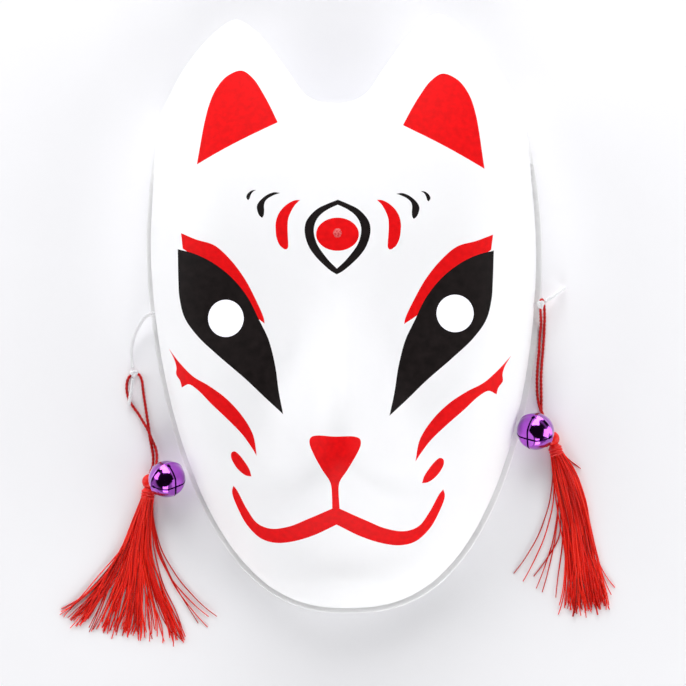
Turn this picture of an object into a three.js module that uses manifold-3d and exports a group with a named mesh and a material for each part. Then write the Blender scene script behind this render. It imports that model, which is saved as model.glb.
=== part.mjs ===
import * as THREE from 'three';
import { mergeVertices } from 'three/addons/utils/BufferGeometryUtils.js';
import Module from 'manifold-3d';

const wasm = await Module();
wasm.setup();

// A kitsune (fox) mask lying face up on its rim. Millimetres. The rim's underside is z = 0, the face looks
// to +Z, the ears point to +Y and the viewer's right is +X.

// Driving dimensions of the moulded shell
const MASK_LENGTH = 252;
const MASK_WIDTH = 170.5;
const FACE_DEPTH = 54;
const SNOUT_RISE = 24;
const MUZZLE_PAD_RISE = 6;
const CHIN_RISE = 4;
const EYE_HOLLOW = 2.5;
const WALL = 1.2;
const LIP_WIDTH = 2.8;
const EYE_HOLE_DIAMETER = 15;
const EYE_HOLE_SPACING = 92.2;
const EYE_HOLE_Y = 1.3;
const STRAP_HOLE_DIAMETER = 3.2;
const STRAP_HOLE_Y = 5;
const STRAP_HOLE_Z = 10;

// Driving dimensions of the cords, bells and tassels
const ELASTIC_DIAMETER = 1.5;
const RED_CORD_DIAMETER = 1.4;
const KNOT_DIAMETER = 3.8;
const CORD_CLEARANCE = 0.35;
const BELL_DIAMETER = 15.8;
const BELL_LENGTH = 15.6;
const BELL_FLAT_END = 0.9;
const BELL_WALL = 0.5;
const BELL_BEAD = 0.35;
const BELL_SLOT_WIDTH = 0.8;
const BELL_SLOT_HOLE = 2;
const BELL_WIRE = 0.8;
const BELL_EYE_CLEARANCE = 0.5;
const TASSEL_BALL_DIAMETER = 6.4;
const COLLAR_DIAMETER = 5.8;
const COLLAR_LENGTH = 3.6;
const COLLAR_WRAPS = 3;
const LOCK_COUNT = 9;
const LOCK_WIDTH = 4.4;
const SKIRT_THICKNESS = 4.6;
const STRAND_TIP_THICKNESS = 1.2;
const TABLE_GAP = 0.05;

// How finely the faceted surfaces are drawn
const INNER_EAR_STEPS = 7;
const SIDE_STEPS = 36;
const RINGS = 9;
const CORD_SIDES = 8;

const HALF_LENGTH = MASK_LENGTH / 2;
const HALF_WIDTH = MASK_WIDTH / 2;

// The face is a dome on an oval outline, widest a little above the eyes. Places on it are shares of the
// half length and half width, measured from the middle of the mask.
const WIDEST_Y = 0.238 * HALF_LENGTH;

const white = new THREE.MeshStandardMaterial({ color: 0xf3f3f5, roughness: 0.35, metalness: 0 });
const elastic = new THREE.MeshStandardMaterial({ color: 0xf0f0f2, roughness: 0.7, metalness: 0 });
const redCord = new THREE.MeshStandardMaterial({ color: 0xb81a1e, roughness: 0.7, metalness: 0 });
const redSilk = new THREE.MeshStandardMaterial({ color: 0xe0140f, roughness: 0.45, metalness: 0 });
const purple = new THREE.MeshStandardMaterial({ color: 0x8a2bb0, roughness: 0.15, metalness: 1 });

// Basic surface helpers

function smoothstep(from, to, value) {
  const share = Math.min(Math.max((value - from) / (to - from), 0), 1);
  return share * share * (3 - 2 * share);
}

function bump(distance, spread) {
  return Math.exp(-((distance / spread) ** 2));
}

// Share of the way from the widest line down to the chin's edge
function chinShare(y, inset) {
  const run = WIDEST_Y + HALF_LENGTH - inset;
  return Math.min(Math.max((WIDEST_Y - y) / run, 0), 1);
}

// Half width of the oval at height y, moved in from the mask's edge by an inset
function ovalHalfWidth(y, inset) {
  const widest = HALF_WIDTH - inset;
  if (y < WIDEST_Y) {
    return widest * (1 - chinShare(y, inset) ** 1.8) ** 0.4;
  }
  return widest * (1 - 0.42 * ((y - WIDEST_Y) / HALF_LENGTH) ** 2);
}

// Height of the dome on the mask's centre line
function centreHeight(y, inset) {
  if (y < WIDEST_Y) {
    return FACE_DEPTH * (1 - chinShare(y, inset) ** 3.4) ** 0.5;
  }
  return FACE_DEPTH * (1 - 0.873 * ((y - WIDEST_Y) / HALF_LENGTH) ** 2);
}

// The dome falls from the centre line to zero at its oval. Across, it is boxy at the forehead, where the
// side walls stand steep, and rounder at the chin.
function domeHeight(x, y, inset) {
  const halfWidth = ovalHalfWidth(y, inset);
  if (halfWidth <= 0 || Math.abs(x) >= halfWidth) {
    return 0;
  }
  const boxiness = 2.3 + 1.3 * smoothstep(-0.8 * HALF_LENGTH, -0.08 * HALF_LENGTH, y);
  const across = (1 - (Math.abs(x) / halfWidth) ** boxiness) ** 0.5;
  return centreHeight(y, inset) * across;
}

// Snout, muzzle pads, chin and eye hollows, added to the dome
function relief(x, y) {
  const u = Math.abs(x) / HALF_WIDTH;
  const v = y / HALF_LENGTH;
  const noseV = -0.413;
  const lengthwise = v > noseV ? bump(v - noseV, 0.357) : bump(v - noseV, 0.19);
  const snoutSpread = 0.152 + 0.082 * smoothstep(-0.08, -0.4, v);
  const snout = SNOUT_RISE * lengthwise * bump(u, snoutSpread);
  const pads = MUZZLE_PAD_RISE * bump(u - 0.258, 0.176) * bump(v + 0.54, 0.103);
  const chin = CHIN_RISE * bump(u, 0.258) * bump(v + 0.873, 0.071);
  const eyes = -EYE_HOLLOW * bump(u - 0.54, 0.2) * bump(v - 0.016, 0.159);
  return snout + pads + chin + eyes;
}

function faceHeight(x, y, inset) {
  const dome = domeHeight(x, y, inset);
  return dome + relief(x, y) * smoothstep(0, 12, dome);
}

// The lip along the rim runs out towards the ears
function lipWidth(y) {
  return LIP_WIDTH * (1 - smoothstep(0.4 * HALF_LENGTH, 0.7 * HALF_LENGTH, y));
}

// The front is the face raised by the wall. The back is the same face with its oval moved in by the wall,
// so the steep sides keep the wall's thickness as well, and the rim's underside stays flat at z = 0.
function frontHeight(x, y) {
  return WALL + faceHeight(x, y, lipWidth(y));
}

function backHeight(x, y) {
  return faceHeight(x, y, lipWidth(y) + WALL);
}

// One side of the outline: valley between the ears, ear up to its tip and down to the side, then the oval
function maskOutline() {
  const ear = [
    [0.129, 0.714], [0.229, 0.806], [0.317, 0.893], [0.393, 0.956], [0.493, 1],
    [0.592, 0.964], [0.692, 0.897], [0.78, 0.821], [0.833, 0.762], [0.895, 0.706],
  ];
  const side = ear.map(([u, v]) => new THREE.Vector3(u * HALF_WIDTH, v * HALF_LENGTH, 0));
  for (const v of [0.63, 0.5, 0.37]) {
    side.push(new THREE.Vector3(ovalHalfWidth(v * HALF_LENGTH, 0), v * HALF_LENGTH, 0));
  }
  const steps = 14;
  for (let i = 0; i < steps; i++) {
    const y = WIDEST_Y - (WIDEST_Y + HALF_LENGTH) * Math.sin((Math.PI / 2) * (i / steps));
    side.push(new THREE.Vector3(ovalHalfWidth(y, 0), y, 0));
  }
  const mirrored = side.map((point) => new THREE.Vector3(-point.x, point.y, 0)).reverse();
  const valley = new THREE.Vector3(0, 0.69 * HALF_LENGTH, 0);
  const chin = new THREE.Vector3(0, -HALF_LENGTH, 0);
  const loop = new THREE.CatmullRomCurve3([valley, ...side, chin, ...mirrored], true);
  // Even steps from the valley to the ear's tip and on to the chin, the same on both sides
  const tipShare = (1 + ear.findIndex(([, v]) => v === 1)) / loop.points.length;
  const lengths = loop.getLengths(1000);
  const tip = lengths[Math.round(1000 * tipShare)] / lengths[1000];
  const half = [];
  for (let i = 0; i < INNER_EAR_STEPS; i++) {
    half.push(tip * (i / INNER_EAR_STEPS));
  }
  for (let i = 0; i < SIDE_STEPS; i++) {
    half.push(tip + (0.5 - tip) * (i / SIDE_STEPS));
  }
  const back = half.slice(1).map((share) => 1 - share).reverse();
  return [...half, 0.5, ...back].map((share) => loop.getPointAt(share));
}

// Share of a ray from the shell's hub to an outline point at which the dome ends
function footShare(hub, edge, extra) {
  let inside = 0;
  let outside = 1;
  for (let i = 0; i < 40; i++) {
    const middle = (inside + outside) / 2;
    const x = hub.x + middle * (edge.x - hub.x);
    const y = hub.y + middle * (edge.y - hub.y);
    const inset = lipWidth(y) + extra;
    const within = y > -HALF_LENGTH + inset && Math.abs(x) < ovalHalfWidth(y, inset);
    if (within) {
      inside = middle;
    } else {
      outside = middle;
    }
  }
  return inside;
}

// Rings of points from the hub to the outline, on a surface given by its height
function surfaceRings(outline, hub, extra, limit, height) {
  const positions = [hub.x, hub.y, height(hub.x, hub.y)];
  const feet = outline.map((edge) => Math.min(footShare(hub, edge, extra), limit));
  for (let ring = 1; ring <= RINGS + 1; ring++) {
    outline.forEach((edge, k) => {
      const share = ring > RINGS ? 1 : feet[k] * Math.sin((Math.PI / 2) * (ring / RINGS));
      const x = hub.x + share * (edge.x - hub.x);
      const y = hub.y + share * (edge.y - hub.y);
      positions.push(x, y, height(x, y));
    });
  }
  return positions;
}

function shellGeometry() {
  const outline = maskOutline();
  const hub = new THREE.Vector2(0, -0.2 * HALF_LENGTH);
  const front = surfaceRings(outline, hub, 0, 0.985, frontHeight);
  const back = surfaceRings(outline, hub, WALL, 0.972, backHeight);
  const index = [];
  const around = outline.length;
  const frontSize = front.length / 3;
  const at = (side, ring, k) => {
    const local = ring === 0 ? 0 : 1 + (ring - 1) * around + (k % around);
    return side * frontSize + local;
  };
  // The outline runs clockwise seen from above
  for (let k = 0; k < around; k++) {
    index.push(at(0, 0, 0), at(0, 1, k + 1), at(0, 1, k));
    index.push(at(1, 0, 0), at(1, 1, k), at(1, 1, k + 1));
    for (let ring = 1; ring <= RINGS; ring++) {
      index.push(at(0, ring, k), at(0, ring, k + 1), at(0, ring + 1, k));
      index.push(at(0, ring, k + 1), at(0, ring + 1, k + 1), at(0, ring + 1, k));
      index.push(at(1, ring, k), at(1, ring + 1, k), at(1, ring, k + 1));
      index.push(at(1, ring, k + 1), at(1, ring + 1, k), at(1, ring + 1, k + 1));
    }
    const last = RINGS + 1;
    index.push(at(0, last, k), at(0, last, k + 1), at(1, last, k));
    index.push(at(0, last, k + 1), at(1, last, k + 1), at(1, last, k));
  }
  const geometry = new THREE.BufferGeometry();
  geometry.setAttribute('position', new THREE.Float32BufferAttribute([...front, ...back], 3));
  geometry.setIndex(index);
  return geometry;
}

// Joining and cutting

function toSolid(geometry) {
  const bare = geometry.clone();
  bare.deleteAttribute('normal');
  bare.deleteAttribute('uv');
  const merged = mergeVertices(bare, 1e-4);
  return new wasm.Manifold(new wasm.Mesh({
    numProp: 3,
    vertProperties: new Float32Array(merged.getAttribute('position').array),
    triVerts: new Uint32Array(merged.getIndex().array),
  }));
}

function toGeometry(solid) {
  const mesh = solid.getMesh();
  const geometry = new THREE.BufferGeometry();
  geometry.setAttribute('position', new THREE.BufferAttribute(new Float32Array(mesh.vertProperties), 3));
  geometry.setIndex(new THREE.BufferAttribute(new Uint32Array(mesh.triVerts), 1));
  geometry.computeVertexNormals();
  return geometry;
}

function joined(geometries) {
  return geometries.map(toSolid).reduce((whole, solid) => whole.add(solid));
}

function maskShell() {
  let solid = toSolid(shellGeometry());
  for (const side of [-1, 1]) {
    const eye = new THREE.CylinderGeometry(EYE_HOLE_DIAMETER / 2, EYE_HOLE_DIAMETER / 2, 2 * FACE_DEPTH, 36);
    eye.rotateX(Math.PI / 2);
    eye.translate(side * EYE_HOLE_SPACING / 2, EYE_HOLE_Y, FACE_DEPTH + 2 * STRAP_HOLE_Z);
    const strapRadius = STRAP_HOLE_DIAMETER / 2;
    const strap = new THREE.CylinderGeometry(strapRadius, strapRadius, HALF_WIDTH / 3, 16);
    strap.rotateZ(Math.PI / 2);
    strap.translate(side * HALF_WIDTH, STRAP_HOLE_Y, STRAP_HOLE_Z);
    solid = solid.subtract(toSolid(eye)).subtract(toSolid(strap));
  }
  const geometry = toGeometry(solid);
  geometry.computeBoundingBox();
  const middle = geometry.boundingBox.getCenter(new THREE.Vector3());
  geometry.translate(-middle.x, -middle.y, 0);
  return geometry;
}

// Cords: tubes of eight sides along a route of chosen points

function route(points) {
  return new THREE.CatmullRomCurve3(points.map(([x, y, z]) => new THREE.Vector3(x, y, z)));
}

function cordTube(points, diameter, steps) {
  const section = new THREE.Shape();
  for (let i = 0; i < CORD_SIDES; i++) {
    const angle = (2 * Math.PI * i) / CORD_SIDES;
    const x = (diameter / 2) * Math.cos(angle);
    const y = (diameter / 2) * Math.sin(angle);
    if (i === 0) {
      section.moveTo(x, y);
    } else {
      section.lineTo(x, y);
    }
  }
  return new THREE.ExtrudeGeometry(section, { steps, extrudePath: route(points) });
}

// Points beside the mask are given as the distance out from its widest edge, then y and z
function beside(side, [out, y, z]) {
  return [side * (HALF_WIDTH + out), y, z];
}

// Where each bight hangs on the elastic, each bell on its cord, and each tassel's ball lies
const leftBight = beside(-1, [6.05, -20.8, 0.75]);
const rightBight = beside(1, [-1.95, 5, 8.1]);
const leftBellEye = beside(-1, [-2.9, -61.9, 5.6]);
const rightBellEye = beside(1, [-0.3, -44.8, 4.8]);
const leftTassel = beside(-1, [0.37, -67.6, 0]);
const rightTassel = beside(1, [2.32, -52.3, 0]);

// The elastic inside the mask follows the rim to the chin: shares of half width and half length, and height
const hiddenRun = [
  [0.897, 0.041, 8.6], [0.856, 0.028, 5.2], [0.836, -0.012, 2.4], [0.83, -0.071, 1], [0.806, -0.238, 0.85],
  [0.739, -0.437, 0.85], [0.622, -0.635, 0.85], [0.446, -0.778, 0.85], [0.211, -0.861, 0.85],
];

function inside(side, [u, v, z]) {
  return [side * u * HALF_WIDTH, v * HALF_LENGTH, z];
}

const leftLead = [
  [6.45, -18.4, 3.6], [6.95, -15.2, 3], [7.05, -11, 2.8], [5.85, -5.6, 3.6], [2.95, -0.3, 5.4],
  [-0.55, 3.6, 8.3], [-4.75, STRAP_HOLE_Y, STRAP_HOLE_Z],
];
const elasticRoute = [
  ...leftLead.map((point) => beside(-1, point)),
  ...hiddenRun.map((point) => inside(-1, point)),
  inside(1, [0, -0.885, 0.85]),
  ...hiddenRun.map((point) => inside(1, point)).reverse(),
  beside(1, [-4.35, STRAP_HOLE_Y, STRAP_HOLE_Z + 0.2]),
];
const leftTailRoute = [
  [6.5, -23.1, 4], [6.85, -25.8, 3.5], [7.55, -29, 3], [8.25, -32, 2.6], [8.75, -34.6, 2.4],
].map((point) => beside(-1, point));
const rightTailRoute = [
  [0.05, 6.2, 10.9], [2.5, 7.7, 9.6], [5.05, 9.4, 6.8], [7.35, 10.9, 3.4], [9.15, 12, 1.3],
].map((point) => beside(1, point));

// Each red cord leaves its tassel, goes round in a bight at the elastic's knot and comes back
const leftStrands = {
  up: [
    [-1.45, -64.8, 4.9], [-2.9, -61.9, 5.6], [-3.05, -59, 4.1], [-2.8, -55.8, 1.8], [-2.1, -52.9, 1.3],
    [-0.9, -49.8, 1.8], [0.2, -46.7, 2.3], [1.1, -44.6, 2.3], [2.6, -42.2, 1.7], [4.9, -38.5, 0.9],
    [6.9, -35.7, 0.75], [8.6, -33, 0.75], [9.6, -29.6, 0.75], [9.85, -26.6, 0.75], [9.3, -23.6, 0.75],
    [7.9, -21.6, 0.75],
  ],
  down: [
    [4.25, -21.6, 0.75], [3.2, -23.9, 0.75], [2.8, -27.5, 0.75], [2.2, -32.5, 0.75], [1.55, -37.5, 0.75],
    [1.1, -41.1, 0.75], [0.5, -45.5, 0.75], [0.1, -49.5, 0.75], [-0.6, -53.5, 0.75], [-1.1, -57.6, 0.75],
    [-0.9, -61, 1.4], [0.2, -64.1, 2.6],
  ],
};
const rightStrands = {
  up: [
    [1.02, -49, 4.3], [0.45, -47, 4.9], [-0.3, -44.8, 4.8], [-1.3, -42.2, 3.7], [-2.3, -39.6, 2.2],
    [-2.9, -37, 1.1], [-3.3, -33.6, 0.75], [-3.35, -27.2, 0.75], [-2.9, -20.8, 0.75], [-2.2, -14.4, 0.75],
    [-1.75, -8.4, 0.85], [-1.3, -4, 1.9], [-1.4, -0.9, 3.7], [-1.65, 1.5, 5.7], [-1.85, 3.4, 7.3],
  ],
  down: [
    [-1.6, 6.5, 7.4], [-0.95, 7.1, 5.7], [-0.15, 6, 3.7], [0.3, 3, 2], [0.4, -0.8, 1], [0.25, -4.6, 0.75],
    [0, -8.4, 0.75], [-0.55, -14.4, 0.75], [-1.2, -20.8, 0.75], [-1.6, -26.6, 0.75], [-1.65, -32, 0.75],
    [-1.7, -36.6, 0.75], [-1.75, -40.2, 0.75], [-1.1, -43, 0.8], [0.6, -46.2, 1.4], [1.9, -48.8, 2.4],
  ],
};

function loopRoute(side, strands, bight) {
  const up = strands.up.map((point) => beside(side, point));
  const down = strands.down.map((point) => beside(side, point));
  return [...up, bight, ...down];
}

const leftLoopRoute = loopRoute(-1, leftStrands, leftBight);
const rightLoopRoute = loopRoute(1, rightStrands, rightBight);

// A knot in the elastic, on top of the red cord's bight
function elasticKnot(name, bight) {
  const knot = new THREE.Mesh(new THREE.SphereGeometry(KNOT_DIAMETER / 2, 8, 6), elastic);
  knot.name = name;
  knot.position.set(...bight);
  knot.position.z += (RED_CORD_DIAMETER + KNOT_DIAMETER) / 2 + CORD_CLEARANCE;
  return knot;
}

// A jingle bell: two thin half shells with a bead where they meet, two crossed slots that end in round
// holes, and a small wire eye at the closed end. The four leaves between the slots are bent in to a
// slightly flat end. Made with its slotted pole at +Z and its cord along Y.
function bellGeometry(slotTurn) {
  const radius = BELL_DIAMETER / 2;
  const pole = BELL_LENGTH / 2;
  const halfSteps = 3;
  const skin = (inset, bead) => {
    const profile = [];
    for (let i = -halfSteps; i <= halfSteps; i++) {
      const angle = (Math.PI / 2) * (i / halfSteps);
      const grow = i === 0 ? bead : 0;
      const across = Math.abs(i) === halfSteps ? 0 : (radius - inset) * Math.cos(angle) + grow;
      const flattening = i === halfSteps ? BELL_FLAT_END : 1;
      profile.push(new THREE.Vector2(across, flattening * (pole - inset) * Math.sin(angle)));
    }
    return new THREE.LatheGeometry(profile, 12).rotateX(Math.PI / 2);
  };
  const slotFloor = 0.2 * pole;
  const slotBox = [2.4 * radius, BELL_SLOT_WIDTH, pole];
  const slot = new THREE.BoxGeometry(...slotBox).translate(0, 0, slotFloor + pole / 2);
  const hole = new THREE.CylinderGeometry(BELL_SLOT_HOLE / 2, BELL_SLOT_HOLE / 2, 2.4 * radius, 8);
  hole.rotateZ(Math.PI / 2).translate(0, 0, slotFloor);
  const cut = joined([slot, hole]);
  const eyeRadius = RED_CORD_DIAMETER / 2 + BELL_EYE_CLEARANCE + BELL_WIRE / 2;
  const eye = new THREE.TorusGeometry(eyeRadius, BELL_WIRE / 2, 4, 8).rotateX(Math.PI / 2);
  eye.translate(0, 0, -pole - RED_CORD_DIAMETER / 2 - BELL_EYE_CLEARANCE);
  const shell = toSolid(skin(0, BELL_BEAD)).add(toSolid(eye)).subtract(toSolid(skin(BELL_WALL, 0)));
  const crossed = cut.rotate([0, 0, slotTurn]).add(cut.rotate([0, 0, slotTurn + 90]));
  return toGeometry(shell.subtract(crossed));
}

// The bell hangs on its cord by the eye: the eye's place, the way to the slotted pole and the way that the
// cord runs through the eye set its place and turn
function bellMesh(name, eyePlace, poleWay, cordWay, slotTurn) {
  const bell = new THREE.Mesh(bellGeometry(slotTurn), purple);
  bell.name = name;
  const outward = new THREE.Vector3(...poleWay).normalize();
  const cord = new THREE.Vector3(...cordWay);
  const across = cord.clone().addScaledVector(outward, -cord.dot(outward)).normalize();
  const sideways = new THREE.Vector3().crossVectors(across, outward);
  const reach = BELL_LENGTH / 2 + RED_CORD_DIAMETER / 2 + BELL_EYE_CLEARANCE;
  bell.quaternion.setFromRotationMatrix(new THREE.Matrix4().makeBasis(sideways, across, outward));
  bell.position.set(...eyePlace).addScaledVector(outward, reach);
  return bell;
}

// The tassel's top: a ball knot, then a collar of cord wraps. Made along +Y from the ball's centre.
function tasselHeadGeometry() {
  const ball = TASSEL_BALL_DIAMETER / 2;
  const neck = 0.6 * ball;
  const profile = [new THREE.Vector2(0, -ball)];
  const ballSteps = 4;
  const neckAngle = Math.PI - Math.asin(neck / ball);
  for (let i = 1; i <= ballSteps; i++) {
    const angle = neckAngle * (i / ballSteps);
    profile.push(new THREE.Vector2(ball * Math.sin(angle), -ball * Math.cos(angle)));
  }
  const collarStart = ball * 1.15;
  const wrap = COLLAR_LENGTH / COLLAR_WRAPS;
  const groove = 0.86 * COLLAR_DIAMETER / 2;
  for (let i = 0; i < COLLAR_WRAPS; i++) {
    profile.push(new THREE.Vector2(groove, collarStart + i * wrap));
    profile.push(new THREE.Vector2(COLLAR_DIAMETER / 2, collarStart + (i + 0.5) * wrap));
  }
  profile.push(new THREE.Vector2(groove, collarStart + COLLAR_LENGTH));
  profile.push(new THREE.Vector2(0, collarStart + COLLAR_LENGTH));
  return new THREE.LatheGeometry(profile, 10);
}

const HEAD_REACH = (TASSEL_BALL_DIAMETER / 2) * 1.15 + COLLAR_LENGTH;

// One lock of strands: an oval section swept flat over the table, from the collar to its tip
function lockGeometry(start, control, tip) {
  const path = new THREE.QuadraticBezierCurve3(start, control, tip);
  const steps = 4;
  const sides = 5;
  const positions = [];
  for (let i = 0; i <= steps; i++) {
    const t = i / steps;
    const centre = path.getPoint(t);
    const along = path.getTangent(t);
    const across = new THREE.Vector3(along.y, -along.x, 0).normalize();
    const halfWide = (LOCK_WIDTH / 2) * (0.55 + 0.9 * t - 0.9 * t ** 3);
    const halfHigh = THREE.MathUtils.lerp(SKIRT_THICKNESS, STRAND_TIP_THICKNESS, smoothstep(0, 0.8, t)) / 2;
    for (let j = 0; j < sides; j++) {
      const angle = (2 * Math.PI * j) / sides;
      const point = centre.clone().addScaledVector(across, halfWide * Math.cos(angle));
      positions.push(point.x, point.y, TABLE_GAP + halfHigh * (1 + Math.sin(angle)));
    }
  }
  const index = [];
  for (let j = 1; j < sides - 1; j++) {
    index.push(0, j, j + 1);
    index.push(steps * sides, steps * sides + j + 1, steps * sides + j);
  }
  for (let i = 0; i < steps; i++) {
    for (let j = 0; j < sides; j++) {
      const a = i * sides + j;
      const b = i * sides + ((j + 1) % sides);
      index.push(a, a + sides, b, b, a + sides, b + sides);
    }
  }
  const geometry = new THREE.BufferGeometry();
  geometry.setAttribute('position', new THREE.Float32BufferAttribute(positions, 3));
  geometry.setIndex(index);
  return geometry;
}

// The skirt fans out from the collar: every lock starts along the tassel and curves out to its own tip
function skirtGeometry(fan) {
  const locks = [];
  for (let i = 0; i < LOCK_COUNT; i++) {
    const share = i / (LOCK_COUNT - 1);
    const spread = THREE.MathUtils.degToRad(THREE.MathUtils.lerp(fan.from, fan.to, share));
    const length = fan.length - fan.shorter * (i % 2);
    const sideways = (COLLAR_DIAMETER / 2 - LOCK_WIDTH / 4) * (2 * share - 1);
    const start = new THREE.Vector3(sideways, 0, 0);
    const control = new THREE.Vector3(1.4 * sideways, 0.45 * length, 0);
    const tip = new THREE.Vector3(length * Math.sin(spread), length * Math.cos(spread), 0);
    locks.push(lockGeometry(start, control, tip));
  }
  return toGeometry(joined(locks));
}

// A tassel: its head at a place on the table, pointing along a heading, and its skirt behind the collar
function tassel(side, place, heading, fan) {
  const group = new THREE.Group();
  group.position.set(...place, 0);
  group.rotation.z = THREE.MathUtils.degToRad(heading);
  const head = new THREE.Mesh(tasselHeadGeometry(), redSilk);
  head.name = `tassel_head_${side}`;
  head.position.z = TASSEL_BALL_DIAMETER / 2 + TABLE_GAP;
  const skirt = new THREE.Mesh(skirtGeometry(fan), redSilk);
  skirt.name = `tassel_skirt_${side}`;
  skirt.position.y = HEAD_REACH + CORD_CLEARANCE;
  group.add(head, skirt);
  return group;
}

function mesh(name, geometry, material) {
  const piece = new THREE.Mesh(geometry, material);
  piece.name = name;
  return piece;
}

const mask = new THREE.Group();
mask.add(mesh('mask_shell', maskShell(), white));
mask.add(mesh('elastic_strap', cordTube(elasticRoute, ELASTIC_DIAMETER, 68), elastic));
mask.add(mesh('elastic_tail_left', cordTube(leftTailRoute, ELASTIC_DIAMETER, 4), elastic));
mask.add(mesh('elastic_tail_right', cordTube(rightTailRoute, ELASTIC_DIAMETER, 4), elastic));
mask.add(elasticKnot('elastic_knot_left', leftBight));
mask.add(elasticKnot('elastic_knot_right', rightBight));
mask.add(mesh('tassel_loop_left', cordTube(leftLoopRoute, RED_CORD_DIAMETER, 42), redCord));
mask.add(mesh('tassel_loop_right', cordTube(rightLoopRoute, RED_CORD_DIAMETER, 50), redCord));
mask.add(bellMesh('bell_left', leftBellEye, [0.62, -0.45, 0.643], [-0.2, -0.95, 0.25], 38));
mask.add(bellMesh('bell_right', rightBellEye, [-0.55, -0.42, 0.72], [0.31, -0.93, 0.18], -37));
mask.add(tassel('left', leftTassel, 172.5, { from: -32, to: 29, length: 62, shorter: 3 }));
mask.add(tassel('right', rightTassel, -164, { from: -2, to: 25, length: 69, shorter: 3 }));

export default mask;
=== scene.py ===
"""Kitsune mask with its elastic, red cord loops, jingle bells and tassels, laid on a pale floor."""
from math import cos, pi, radians, sin

import bpy
import numpy as np
from bpy.props import FloatProperty, FloatVectorProperty, IntProperty, PointerProperty
from mathutils import Matrix, Vector
from mathutils.geometry import delaunay_2d_cdt


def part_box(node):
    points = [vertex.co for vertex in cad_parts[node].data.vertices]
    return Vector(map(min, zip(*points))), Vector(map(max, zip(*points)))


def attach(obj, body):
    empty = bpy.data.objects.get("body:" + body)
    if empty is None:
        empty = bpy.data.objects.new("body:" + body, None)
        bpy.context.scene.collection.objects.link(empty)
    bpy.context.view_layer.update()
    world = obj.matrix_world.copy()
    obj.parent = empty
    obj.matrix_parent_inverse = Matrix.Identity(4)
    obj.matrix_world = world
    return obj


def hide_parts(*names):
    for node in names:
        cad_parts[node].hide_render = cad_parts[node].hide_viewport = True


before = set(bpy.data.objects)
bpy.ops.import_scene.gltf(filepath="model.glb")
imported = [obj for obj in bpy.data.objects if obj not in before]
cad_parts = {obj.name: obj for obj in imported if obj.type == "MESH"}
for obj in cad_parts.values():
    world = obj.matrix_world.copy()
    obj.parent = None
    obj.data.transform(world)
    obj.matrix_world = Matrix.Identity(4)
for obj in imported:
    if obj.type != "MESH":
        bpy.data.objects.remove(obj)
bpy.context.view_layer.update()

bl_info = {
    "name": "Kitsune mask",
    "version": (1, 0, 0),
    "blender": (4, 5, 0),
    "location": "3D View > Sidebar > Kitsune mask",
    "description": "A printed fox mask with elastic, red cords, jingle bells and tassels",
    "category": "Object",
}

MM = 0.001
BODY = "root"
SIDES = {"left": -1, "right": 1}

# The mask is centred on the origin with its rim on the floor, so its box gives both half sizes
SHELL_LOW, SHELL_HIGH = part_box("mask_shell")
HALF_LENGTH = (SHELL_HIGH.y - SHELL_LOW.y) / 2
HALF_WIDTH = (SHELL_HIGH.x - SHELL_LOW.x) / 2
WIDEST_Y = 0.238 * HALF_LENGTH
HUB = np.array([0, -0.2 * HALF_LENGTH])

# The photograph's view, found from the outline and the eye holes: place and aim in millimetres
CAMERA_PLACE = (27, -9.6, 700)
CAMERA_AIM = (-1, -9.6, 0)
CAMERA_ROLL = radians(1.2)
PHOTO_SIZE = 686
FOCAL_PIXELS = 1625
SENSOR_WIDTH = 36


class MaskSizes(bpy.types.PropertyGroup):
    """Sizes of the moulded mask"""
    face_depth: FloatProperty(
        name="Face depth", description="Height of the dome on its centre line",
        default=54 * MM, unit="LENGTH")
    snout_rise: FloatProperty(
        name="Snout rise", description="How far the snout stands over the dome",
        default=24 * MM, unit="LENGTH")
    pad_rise: FloatProperty(
        name="Muzzle pad rise", description="How far the muzzle pads stand out",
        default=6 * MM, unit="LENGTH")
    chin_rise: FloatProperty(
        name="Chin rise", description="How far the chin stands out", default=4 * MM, unit="LENGTH")
    eye_hollow: FloatProperty(
        name="Eye hollow", description="Depth of the hollows round the eyes",
        default=2.5 * MM, unit="LENGTH")
    wall: FloatProperty(
        name="Wall", description="Thickness of the moulded wall", default=1.2 * MM, unit="LENGTH")
    lip: FloatProperty(
        name="Lip", description="Width of the flat lip along the rim", default=2.8 * MM, unit="LENGTH")
    edge_round: FloatProperty(
        name="Edge rounding", description="Radius on the edges of the rim and the eye holes",
        default=0.35 * MM, unit="LENGTH")
    eye_hole: FloatProperty(
        name="Eye hole", description="Diameter of each eye hole", default=15 * MM, unit="LENGTH")
    eye_spacing: FloatProperty(
        name="Eye spacing", description="Distance between the eye holes' centres",
        default=92.2 * MM, unit="LENGTH")
    eye_y: FloatProperty(
        name="Eye height", description="Place of the eye holes along the mask",
        default=1.3 * MM, unit="LENGTH")
    strap_hole: FloatProperty(
        name="Strap hole", description="Diameter of each strap hole", default=3.2 * MM, unit="LENGTH")
    strap_y: FloatProperty(
        name="Strap hole place", description="Place of the strap holes along the mask",
        default=5 * MM, unit="LENGTH")
    strap_z: FloatProperty(
        name="Strap hole height", description="Height of the strap holes over the floor",
        default=10 * MM, unit="LENGTH")
    front_spacing: FloatProperty(
        name="Front spacing", description="Distance between points on the front",
        default=1.45 * MM, unit="LENGTH")
    back_spacing: FloatProperty(
        name="Back spacing", description="Distance between points on the back",
        default=2.6 * MM, unit="LENGTH")
    print_turn: FloatProperty(
        name="Print turn", description="How far the print stands askew, clockwise",
        default=radians(1.8), unit="ROTATION")
    white: FloatVectorProperty(
        name="White", description="Colour of the plastic", subtype="COLOR", size=3,
        default=(0.88, 0.88, 0.89))
    red: FloatVectorProperty(
        name="Red ink", description="Colour of the red print", subtype="COLOR", size=3,
        default=(0.82, 0.004, 0.006))
    black: FloatVectorProperty(
        name="Black ink", description="Colour of the black print", subtype="COLOR", size=3,
        default=(0.01, 0.007, 0.007))


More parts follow.
